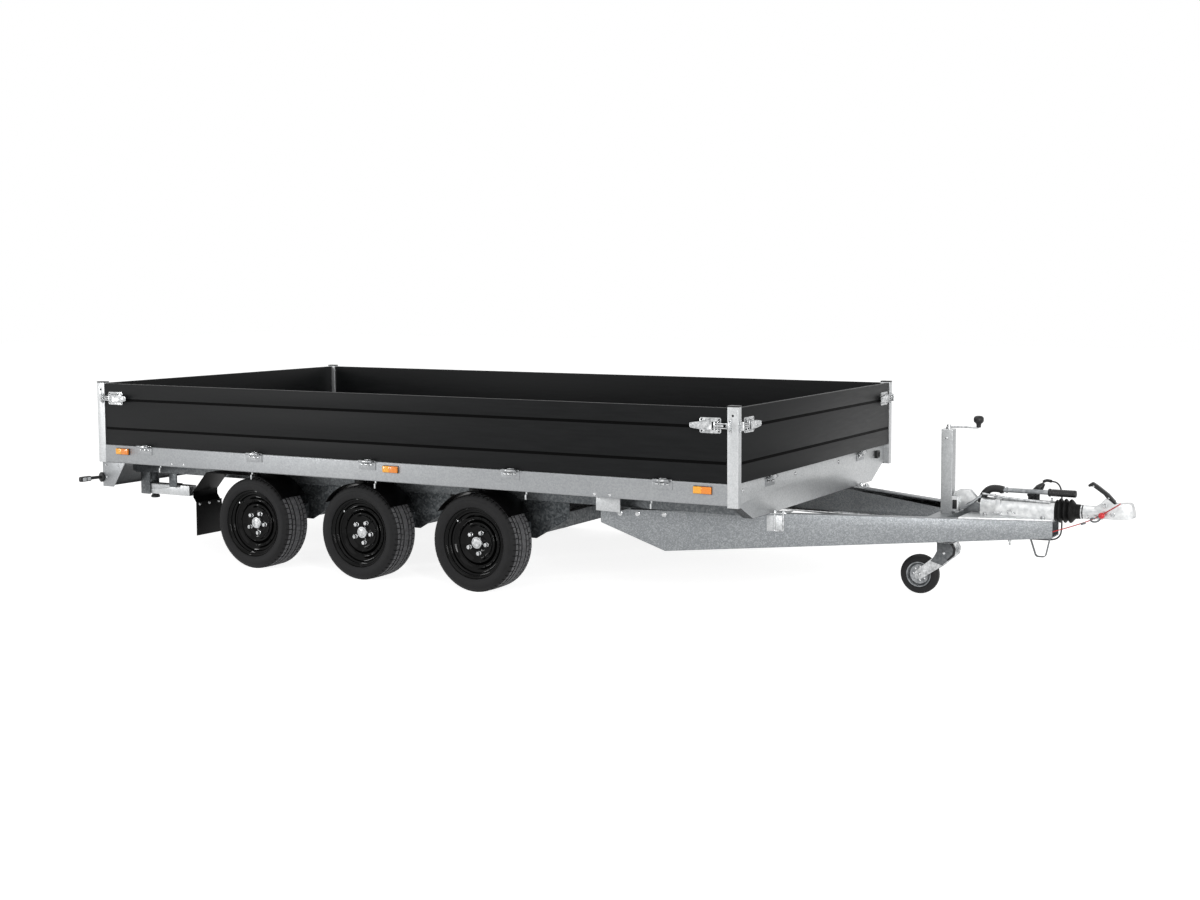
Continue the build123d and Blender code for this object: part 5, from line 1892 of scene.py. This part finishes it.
@dataclass
class OverrunCoupling:
    """The cast overrun housing, its boot, the ball coupling, the handbrake lever and the plug."""

    level: float = 0.470
    end: float = 2.490
    boot_start: float = 2.491
    boot_end: float = 2.624
    lever_level: float = 0.554
    plug_y: float = 0.072
    housing_radius: float = 0.045
    sector_middle: Spot = (2.085, 0.440)
    sector_radius: float = 0.050
    flange_at_end: float = 0.4305
    flange_slope: float = 0.0218
    ball_centre: Point = (2.722, -0.0605, 0.466)
    ball_radius: float = 0.0155
    seam_half: float = 0.0022

    def housing(self) -> None:
        """Eases the casting and adds its bolts, nipples, guide rod, hook and brake sectors."""
        rework("overrun_housing", 0.004, 3, 30.0)
        bolt = hex_head("housing_bolt", 0.019, 0.009, 0.012)
        places = [
            Matrix.Translation(
                (x, sign * y, self.flange_at_end + (self.end - x) * self.flange_slope)
            )
            for x, y in ((2.165, 0.098), (2.440, 0.062)) for sign in (-1, 1)
        ]
        parts = [strew("housing_bolts", bolt, places)]
        nipple = lathe(
            "grease_nipple", [(0, 0), (0, 0.006), (0.005, 0.006), (0.006, 0.0035), (0.011, 0.0035),
                              (0.014, 0.0045), (0.016, 0.0028), (0.017, 0)], None, 16,
        )
        parts.append(strew("grease_nipples", nipple, [
            stand((x, 0, self.level + self.housing_radius - 0.002), (0, 0, 1), (1, 0, 0))
            for x in (2.190, 2.470)
        ]))
        guide = pipe("guide_rod", [
            (2.130, -0.020, 0.532), (2.160, -0.022, 0.530), (2.240, -0.026, 0.520),
            (2.350, -0.028, 0.514), (2.440, -0.028, 0.510), (2.470, -0.028, 0.509),
        ], 0.0055)
        hook = pipe("housing_hook", [
            (2.270, -0.048, 0.444), (2.262, -0.052, 0.452), (2.270, -0.054, 0.462),
            (2.284, -0.054, 0.460), (2.292, -0.050, 0.450), (2.304, -0.046, 0.446),
        ], 0.0032)
        parts += [guide, hook]
        parts.append(ease(
            block("clamp_block", (2.196, -0.066, 0.431), (2.238, -0.044, 0.452)), 0.003, 3
        ))
        fit(join("housing_fastenings", parts), CHASSIS, Slot.ZINC)
        x, z = self.sector_middle
        arc = [
            (x + self.sector_radius * math.cos(a), z + self.sector_radius * math.sin(a))
            for a in (math.pi * n / 14 for n in range(15))
        ]
        sectors = [
            plate("sector", arc, 0.004,
                  stand((0, sign * 0.0215 + 0.002, 0), (1, 0, 0), (0, -1, 0)))
            for sign in (-1, 1)
        ]
        fit(dress(ease(join("brake_sector", sectors), 0.0008), WEATHERED), CHASSIS, Slot.CAST)

    def boot(self) -> None:
        """Turns the rubber boot: three deep folds, then a narrow collar."""
        folds = [
            (0.000, 0.0), (0.000, 0.050), (0.004, 0.053), (0.009, 0.049), (0.012, 0.047),
            (0.018, 0.058), (0.023, 0.0618), (0.028, 0.058), (0.036, 0.043), (0.043, 0.057),
            (0.048, 0.0605), (0.053, 0.057), (0.061, 0.042), (0.068, 0.056), (0.074, 0.0600),
            (0.081, 0.055), (0.093, 0.040), (0.099, 0.0345), (0.104, 0.0375), (0.109, 0.0345),
            (0.114, 0.0365), (0.119, 0.0340), (0.127, 0.0340), (0.133, 0.0325), (0.133, 0.0),
        ]
        place = Matrix.Translation((self.boot_start, 0, self.level))
        boot = lathe("bellows_moulded", folds, place, 48, 60.0)
        modify(boot, "SUBSURF", levels=1, render_levels=1)
        fit(boot, CHASSIS, Slot.FLAP, "bellows")
        band = lathe(
            "boot_band", [(0, 0.0330), (0, 0.0352), (0.006, 0.0352), (0.006, 0.0330), (0, 0.0330)],
            Matrix.Translation((self.boot_end - 0.010, 0, self.level)), 40,
        )
        fit(band, CHASSIS, Slot.ZINC)

    def head(self) -> None:
        """Eases the ball coupling and its handle, and adds their bolts and rivets."""
        rework("coupling_head", 0.0035, 3, 30.0)
        handle = ease(copy_of("coupling_handle", "coupling_handle_moulded"), 0.005, 4)
        fit(handle, CHASSIS, Slot.PLASTIC, "coupling_handle")
        bolt = hex_head("coupling_bolt", 0.019, 0.008, 0.0125)
        places = [
            stand((x, sign * 0.0355, z), (1, 0, 0), (0, sign, 0))
            for x, z in ((2.728, 0.511), (2.768, 0.470)) for sign in (-1, 1)
        ]
        parts = [strew("coupling_bolts", bolt, places)]
        rivet = round_head("handle_rivet", 0.0048, 0.0025)
        parts.append(strew("handle_rivets", rivet, [
            stand((x, sign * 0.0155, z), (1, 0, 0), (0, sign, 0))
            for x, z in ((2.672, 0.599), (2.744, 0.545)) for sign in (-1, 1)
        ]))
        sleeve = hex_head("sleeve_bolt", 0.017, 0.007, 0.011)
        parts.append(strew("sleeve_bolts", sleeve, [
            stand((2.646, sign * 0.0285, 0.452), (1, 0, 0), (0, sign, 0)) for sign in (-1, 1)
        ]))
        fit(join("coupling_fastenings", parts), CHASSIS, Slot.ZINC)

    def lever(self) -> None:
        """Makes the handbrake: two bars up into a rubber elbow, a tube, a ring and a grip."""
        boot = pipe("lever_elbow", [
            (2.108, 0, 0.488), (2.124, 0, 0.508), (2.138, 0, 0.535), (2.164, 0, 0.557),
            (2.200, 0, 0.5595), (2.226, 0, 0.5545), (2.232, 0, 0.554),
        ], 0.0185, 12)
        ring = lathe(
            "elbow_ring", [(0, 0), (0, 0.0185), (0.006, 0.0195), (0.012, 0.0185), (0.012, 0)],
            Matrix.Translation((2.214, 0, self.lever_level)), 32,
        )
        grip = lathe(
            "lever_grip",
            [(0, 0), (0, 0.0175), (0.003, 0.0198), (0.010, 0.0198), (0.013, 0.0172)]
            + [(0.018 + 0.009 * n + d, r) for n in range(12)
               for d, r in ((0.0, 0.0168), (0.0025, 0.0178), (0.0065, 0.0178))]
            + [(0.130, 0.0175), (0.135, 0.0150), (0.137, 0.0)],
            Matrix.Translation((2.453, 0, self.lever_level)), 36,
        )
        fit(join("lever_rubbers", [boot, ring, grip]), CHASSIS, Slot.PLASTIC, "handbrake_lever")
        tube = bar("lever_tube", (2.228, 0, self.lever_level), (2.456, 0, self.lever_level), 0.0115)
        collar = lathe(
            "lever_collar", [(0, 0), (0, 0.0145), (0.009, 0.0145), (0.009, 0)],
            Matrix.Translation((2.243, 0, self.lever_level)), 32,
        )
        bars = []
        for y in (-0.0275, 0.0275):
            line = [(2.020, y, 0.449), (2.045, y, 0.460), (2.080, y * 0.9, 0.484),
                    (2.112, y * 0.5, 0.512), (2.132, y * 0.3, 0.528)]
            bars.append(pipe("lever_bar", line, 0.0072))
        pivot = bar("lever_pivot", (2.055, -0.0125, 0.466), (2.055, 0.0125, 0.466), 0.0095, 24)
        parts = [ease(tube, 0.0006, 1), collar, *bars, ease(pivot, 0.001)]
        metal = join("lever_metal", parts)
        fit(dress(metal, FINISHES[Slot.JOCKEY_RIM]), CHASSIS, Slot.ZINC)

    def plug(self) -> None:
        """Makes the plug, held slantwise in its parking socket, ribbed for the hand."""
        axis = Vector((0.92, 0.0, 1.0)).normalized()
        foot = Vector((2.345, self.plug_y, 0.515))
        place = stand(tuple(foot), tuple(axis), (0, 1, 0))
        body = [(0.000, 0.0), (0.000, 0.0215), (0.004, 0.0220), (0.020, 0.0220), (0.022, 0.0195)]
        for n in range(5):
            start = 0.024 + n * 0.009
            body += [(start, 0.0190), (start + 0.002, 0.0205), (start + 0.0065, 0.0205)]
        body += [(0.072, 0.0185), (0.078, 0.0165), (0.084, 0.0150), (0.088, 0.0120),
                 (0.098, 0.0095), (0.099, 0.0)]
        plug = lathe("plug_body", body, place, 32)
        gland = pipe("plug_gland", [
            (2.408, 0.072, 0.596), (2.420, 0.072, 0.6035), (2.436, 0.072, 0.6035),
            (2.450, 0.072, 0.6005),
        ], 0.0075)
        bracket = ease(
            block("plug_bracket", (2.334, 0.069, 0.4345), (2.392, 0.075, 0.552)), 0.0015
        )
        fit(join("plug_moulded", [plug, bracket, gland]), CHASSIS, Slot.PLASTIC, "plug_holder")

    def breakaway_fittings(self) -> None:
        """Adds the breakaway cable's red ball, its ferrule and its snap hook."""
        bpy.ops.mesh.primitive_uv_sphere_add(
            segments=32, ring_count=16, radius=self.ball_radius, location=self.ball_centre
        )
        ball = bpy.context.object
        ball.name = "breakaway_ball"
        settle(ball)
        pick(ball, lambda centre, normal: abs(centre.x - self.ball_centre[0]) < self.seam_half)
        grow(-0.0008)
        smooth(leave(ball), 40.0)
        fit(dress(ball, SIGNAL_RED), CHASSIS, Slot.RED_CABLE)
        hook = pipe("snap_hook", [
            (2.690, -0.052, 0.448), (2.676, -0.054, 0.452), (2.668, -0.055, 0.444),
            (2.674, -0.054, 0.434), (2.692, -0.052, 0.432), (2.708, -0.050, 0.440),
            (2.716, -0.048, 0.452), (2.710, -0.049, 0.460), (2.698, -0.051, 0.456),
        ], 0.0042)
        ferrule = bar(
            "cable_ferrule", (2.624, -0.0545, 0.4175), (2.646, -0.0535, 0.4255), 0.0050, 16
        )
        ease(ferrule, 0.001, 2)
        snap = dress(join("breakaway_hook", [hook, ferrule]), WEATHERED)
        fit(snap, CHASSIS, Slot.ZINC)

    def build(self) -> None:
        """Builds the whole coupling."""
        self.housing()
        self.boot()
        self.head()
        self.lever()
        self.plug()
        self.breakaway_fittings()


# ------------------------------------------------------------------ jockey wheel


@dataclass
class JockeyWheel:
    """The jockey wheel: its square mast and crank, its fork, and a small tyred wheel."""

    mast_x: float = 1.9475
    wheel_x: float = 1.8065
    radius: float = 0.100
    half_width: float = 0.030
    crank_level: float = 0.856
    crank_reach: float = 0.153
    tube_top: float = 0.8437
    hole_circle: float = 0.034
    holes: int = 8

    def mast(self) -> None:
        """Eases the square mast and adds its bolt, clamp, crank and knob, with a black strip of
        painted shade on the clamp.
        """
        mast = copy_of("jockey_tube", "jockey_mast")
        pick(mast, lambda centre, normal: centre.z > self.tube_top)
        bpy.ops.mesh.delete(type="FACE")
        bpy.ops.object.mode_set(mode="OBJECT")
        dress(mast, MAST_ZINC)
        fit(ease(mast, 0.006, 4), CHASSIS, Slot.DRAWBAR, "jockey_tube")
        x, z = self.mast_x, self.crank_level
        parts = [
            ease(
                block("mast_cap", (x - 0.029, -0.029, 0.8395), (x + 0.029, 0.029, 0.8455)),
                0.0025, 3,
            ),
            lathe("crank_boss", [(0, 0), (0, 0.013), (0.010, 0.013), (0.012, 0.010),
                                 (0.022, 0.0095), (0.022, 0)],
                  stand((x, 0, 0.8445), (0, 0, 1), (1, 0, 0)), 28),
            pipe("crank_arm", [
                (x, 0, z), (x + 0.02, 0, z), (x + 0.08, 0, z + 0.002), (x + 0.135, 0, z + 0.001),
                (x + self.crank_reach, 0, z + 0.001), (x + self.crank_reach, 0, z + 0.009),
                (x + self.crank_reach, 0, z + 0.016),
            ], 0.0052),
        ]
        bolt = round_head("mast_bolt", 0.0085, 0.005)
        parts.append(strew("mast_bolts", bolt, [
            stand((x, sign * 0.029, 0.800), (1, 0, 0), (0, sign, 0)) for sign in (-1, 1)
        ]))
        fit(join("crank_plated", parts), CHASSIS, Slot.ZINC)
        knob = lathe(
            "crank_knob",
            [(0, 0), (0, 0.0110), (0.008, 0.0112), (0.018, 0.0128), (0.023, 0.0185),
             (0.028, 0.0235), (0.036, 0.0252), (0.046, 0.0248), (0.053, 0.0215),
             (0.0575, 0.0140), (0.059, 0.0)],
            stand((x + self.crank_reach, 0, 0.8580), (0, 0, 1), (1, 0, 0)), 32, 60.0,
        )
        fit(knob, CHASSIS, Slot.PLASTIC)
        clamp = ease(block("mast_clamp", (1.974, -0.034, 0.432), (2.012, 0.034, 0.512)), 0.005, 4)
        fit(clamp, CHASSIS, Slot.CAST)
        # Painted shade: a black strip across the clamp stands for the dark gaps round it.
        clamp_shade = ease(block("clamp_pad", (1.982, -0.0395, 0.448), (2.004, 0.0395, 0.494)), 0.003, 3)
        fit(clamp_shade, CHASSIS, Slot.PLASTIC)

    def leg(self) -> None:
        """Eases the stem and fork, and adds the swivel's bolts and the axle's nuts."""
        rework("jockey_stem", 0.002, 3)
        rework("jockey_fork", 0.0025, 3)
        nut = hex_head("axle_nut", 0.0215, 0.009, 0.013)
        places = [
            stand((self.wheel_x, sign * 0.041, self.radius), (1, 0, 0), (0, sign, 0))
            for sign in (-1, 1)
        ]
        axle = strew("axle_nuts", nut, places)
        fit(axle, "jockey_castor", Slot.ZINC)
        m = self.mast_x
        cheek_shape = [
            (m - 0.040, 0.272), (m + 0.041, 0.272), (m + 0.056, 0.246), (m + 0.050, 0.215),
            (m - 0.012, 0.158), (m - 0.074, 0.176), (m - 0.056, 0.200), (m - 0.041, 0.228),
        ]
        edge_shape = [
            (m + 0.024, 0.2725), (m + 0.043, 0.2725), (m + 0.058, 0.246), (m + 0.052, 0.213),
            (m + 0.018, 0.183), (m + 0.012, 0.190), (m + 0.040, 0.219), (m + 0.044, 0.243),
            (m + 0.034, 0.262),
        ]
        cheeks, edges = [], []
        for sign in (-1, 1):
            place = stand((0, sign * 0.0425 + 0.0012, 0), (1, 0, 0), (0, -1, 0))
            cheeks.append(ease(plate("swivel_cheek", cheek_shape, 0.0024, place), 0.0008))
            place = stand((0, sign * 0.0440 + 0.0020, 0), (1, 0, 0), (0, -1, 0))
            edges.append(ease(plate("swivel_edge", edge_shape, 0.0040, place), 0.0014, 3))
        cheek = join("swivel_cheeks", cheeks)
        fit(dress(cheek, WEATHERED), "jockey_castor", Slot.ZINC)
        fit(join("swivel_edges", edges), "jockey_castor", Slot.PLASTIC)
        head = round_head("swivel_rivet", 0.0075, 0.003)
        fit(strew("swivel_rivets", head, [
            stand((m - 0.004, sign * 0.0437, 0.222), (1, 0, 0), (0, sign, 0)) for sign in (-1, 1)
        ]), "jockey_castor", Slot.ZINC)

    def wheel(self) -> None:
        """Turns the small wheel: a solid tyre round a pressed rim with eight holes."""
        w = self.half_width
        place = stand((self.wheel_x, 0, self.radius), (0, 1, 0), (0, 0, 1))
        tyre = lathe(
            "jockey_tyre_moulded",
            [(-w + 0.003, 0.0655), (-w, 0.0690), (-w, 0.0780), (-w + 0.0015, 0.0865),
             (-w + 0.006, 0.0945), (-0.016, 0.0988), (-0.0145, 0.0972), (-0.0125, 0.0972),
             (-0.0110, 0.0995), (0.0, 0.1000), (0.0110, 0.0995), (0.0125, 0.0972),
             (0.0145, 0.0972), (0.016, 0.0988), (w - 0.006, 0.0945), (w - 0.0015, 0.0865),
             (w, 0.0780), (w, 0.0690), (w - 0.003, 0.0655), (-w + 0.003, 0.0655)],
            place, 64,
        )
        fit(tyre, "jockey_roller", Slot.JOCKEY_TYRE, "jockey_tyre")
        half = [(-0.028, 0.0), (-0.028, 0.0125), (-0.024, 0.0150), (-0.016, 0.0165),
                (-0.010, 0.0240), (-0.009, 0.0420), (-0.012, 0.0500), (-0.021, 0.0545),
                (-0.0265, 0.0590), (-0.0275, 0.0640), (-0.0255, 0.0660)]
        rim = lathe("jockey_rim_pressed", [*half, *[(-x, r) for x, r in reversed(half)]], None, 56)
        drill = bar("rim_drill", (-0.03, 0, 0), (0.03, 0, 0), 0.0062, 16)
        cut(rim, strew("rim_drills", drill, around(0, self.hole_circle, self.holes)))
        smooth(settle(rim, place), 38.0)
        fit(rim, "jockey_roller", Slot.JOCKEY_RIM, "jockey_wheel")

    def build(self) -> None:
        """Builds mast, leg and wheel."""
        self.mast()
        self.leg()
        self.wheel()


# ------------------------------------------------------------------ rear and running gear


@dataclass
class RunningGear:
    """Axles, guards, flaps, brake rod, props and hooks, with the bolts that hold them."""

    flap_face: float = -2.1043
    flap_front: float = -2.0987
    guard_middle: float = 0.940

    def build(self) -> None:
        """Eases the running gear's nodes and adds its bolts."""
        for node, width in (
            ("axles", 0.0025), ("mudguards", 0.0015), ("mudflaps", 0.0012), ("brake_rod", 0.0008),
            ("stand_brackets", 0.0010),
        ):
            rework(node, width)
        for node, width, finish in (
            ("safety_stirrup", 0.0012, WEATHERED),
            ("left_stand", 0.003, FINISHES[Slot.POST]),
            ("right_stand", 0.003, FINISHES[Slot.POST]),
            ("lashing_hooks", 0.0010, FINISHES[Slot.POST]),
        ):
            redress(node, finish, width)
        bolt = round_head("flap_bolt", 0.008, 0.004)
        places = [
            stand((x, side.value * (self.guard_middle + across), 0.332), (0, 1, 0), (facing, 0, 0))
            for x, facing in ((self.flap_face, -1), (self.flap_front, 1))
            for side in Side for across in (-0.075, 0.0, 0.075)
        ]
        fit(strew("flap_bolts", bolt, places), CHASSIS, Slot.ZINC)
        for side in Side:
            foot = lathe(
                f"{side.label}_stand_foot",
                [(0, 0), (0, 0.018), (0.010, 0.020), (0.016, 0.026), (0.026, 0.026),
                 (0.028, 0.022), (0.028, 0)],
                stand((-2.700, side.value * 0.760, 0.331), (0, 0, -1), (1, 0, 0)), 28,
            )
            fit(foot, f"{side.label}_prop", Slot.PLASTIC)


@dataclass
class Lamps:
    """The light board with its rear lamps, the outline lamps and the side markers."""

    board_face: float = -2.829
    lamp_face: float = -2.863
    lamp_low: float = 0.420
    lamp_high: float = 0.515
    outline_x: float = -2.8485
    outline_level: float = 0.448
    marker_runs: tuple[float, ...] = (-2.6485, -0.7235, 1.0935)

    def rear_lamp(self, side: Side) -> None:
        """Makes one rear lamp: a black tray and three lenses side by side.

        Args:
            side: the lamp's side.
        """
        s = side.value
        label = side.label
        x = self.lamp_face
        tray = block(f"{label}_lamp_tray", (x + 0.010, s * 0.655, self.lamp_low),
                     (self.board_face, s * 0.905, self.lamp_high))
        fit(ease(tray, 0.006, 3), CHASSIS, Slot.PLASTIC)
        lenses = (
            ("amber", 0.828, 0.901, Slot.AMBER, FINISHES[Slot.AMBER]),
            ("red", 0.741, 0.826, Slot.RED, FINISHES[Slot.RED]),
            ("clear", 0.659, 0.739, Slot.RED, CLEAR),
        )
        for colour, near, far, slot, finish in lenses:
            lens = block(f"{label}_{colour}_lens", (x, s * near, self.lamp_low + 0.004),
                         (x + 0.012, s * far, self.lamp_high - 0.004))
            ease(lens, 0.005, 4)
            piece = fit(dress(lens, finish), CHASSIS, slot)
            if colour == "red" and side is Side.RIGHT:
                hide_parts("rear_lamps")

    def markers(self) -> None:
        """Makes the amber side markers, each lens in a shallow black tray."""
        lenses, pale, trays = [], [], []
        for x in self.marker_runs:
            for side in Side:
                s = side.value
                for group, near, far in ((pale, -0.047, -0.003), (lenses, -0.0035, 0.047)):
                    lens = block("marker_lens", (x + near, s * 1.0525, 0.591),
                                 (x + far, s * 1.064, 0.625))
                    group.append(ease(lens, 0.003, 3))
                trays.append(ease(block(
                    "marker_tray", (x - 0.049, s * 1.050, 0.589), (x + 0.049, s * 1.0545, 0.627)
                ), 0.001))
        fit(join("side_marker_lenses", lenses), CHASSIS, Slot.AMBER, "side_markers")
        fit(dress(join("side_marker_reflectors", pale), PALE_AMBER), CHASSIS, Slot.AMBER)
        fit(join("side_marker_trays", trays), CHASSIS, Slot.PLASTIC)

    def outline(self) -> None:
        """Makes the outline lamps: an oval foot, a waisted arm, and a slim head with two lenses."""
        x, z = self.outline_x, self.outline_level
        rubber, clear, red = [], [], []
        for side in Side:
            s = side.value
            foot = lathe(
                "outline_foot", [(0, 0), (0, 0.029), (0.008, 0.029), (0.013, 0.022), (0.014, 0)],
                stand((x + 0.014, s * 1.040, z), side.out, (0, 0, 1))
                @ Matrix.Diagonal((1.0, 0.7, 1.0, 1.0)), 32,
            )
            arm = pipe("outline_arm", [
                (x + 0.010, s * 1.048, z), (x + 0.006, s * 1.066, z), (x, s * 1.090, z),
                (x, s * 1.106, z), (x, s * 1.124, z),
            ], 0.0095)
            head = block("outline_head", (x - 0.0145, s * 1.116, z - 0.0150),
                         (x + 0.0145, s * 1.1925, z + 0.0150))
            rubber += [foot, arm, ease(head, 0.008, 4)]
            for turned, group in ((1, clear), (-1, red)):
                for near, far in ((1.126, 1.150), (1.157, 1.184)):
                    lens = block("outline_lens", (x + turned * 0.011, s * near, z - 0.0095),
                                 (x + turned * 0.0165, s * far, z + 0.0095))
                    group.append(ease(lens, 0.0022, 3))
        fit(join("outline_lamps_moulded", rubber), CHASSIS, Slot.PLASTIC, "outline_lamps")
        fit(dress(join("outline_front_lenses", clear), CLEAR), CHASSIS, Slot.RED)
        fit(join("outline_rear_lenses", red), CHASSIS, Slot.RED)

    def build(self) -> None:
        """Builds every lamp and eases the board."""
        redress("light_board", FINISHES[Slot.RIM], 0.0012)
        for side in Side:
            self.rear_lamp(side)
        self.markers()
        self.outline()
        bolt = round_head("board_bolt", 0.007, 0.0035)
        places = [
            stand((x, side.value * 1.040, z), (1, 0, 0), side.out)
            for side in Side for x, z in ((-2.80, 0.520), (-2.70, 0.520), (-2.80, 0.45))
        ]
        fit(strew("light_board_bolts", bolt, places), CHASSIS, Slot.ZINC)


# ------------------------------------------------------------------ the whole trailer


def finish_remaining() -> None:
    """Gives every CAD node that is still shown its eased edges and its finish."""
    for node, piece in frame["nodes"].items():
        if not piece.hide_render:
            rework(node)


def main() -> None:
    """Builds the studio and each sub-assembly in order."""
    logging.basicConfig(level=logging.INFO, format="%(name)s: %(message)s")
    bpy.ops.object.select_all(action="DESELECT")
    Studio().build()
    TowCords().build()
    RoadWheels().build()
    DropSides().build()
    BedFrame().build()
    Drawbar().build()
    OverrunCoupling().build()
    JockeyWheel().build()
    RunningGear().build()
    Lamps().build()
    finish_remaining()


if __name__ == "__main__":
    main()
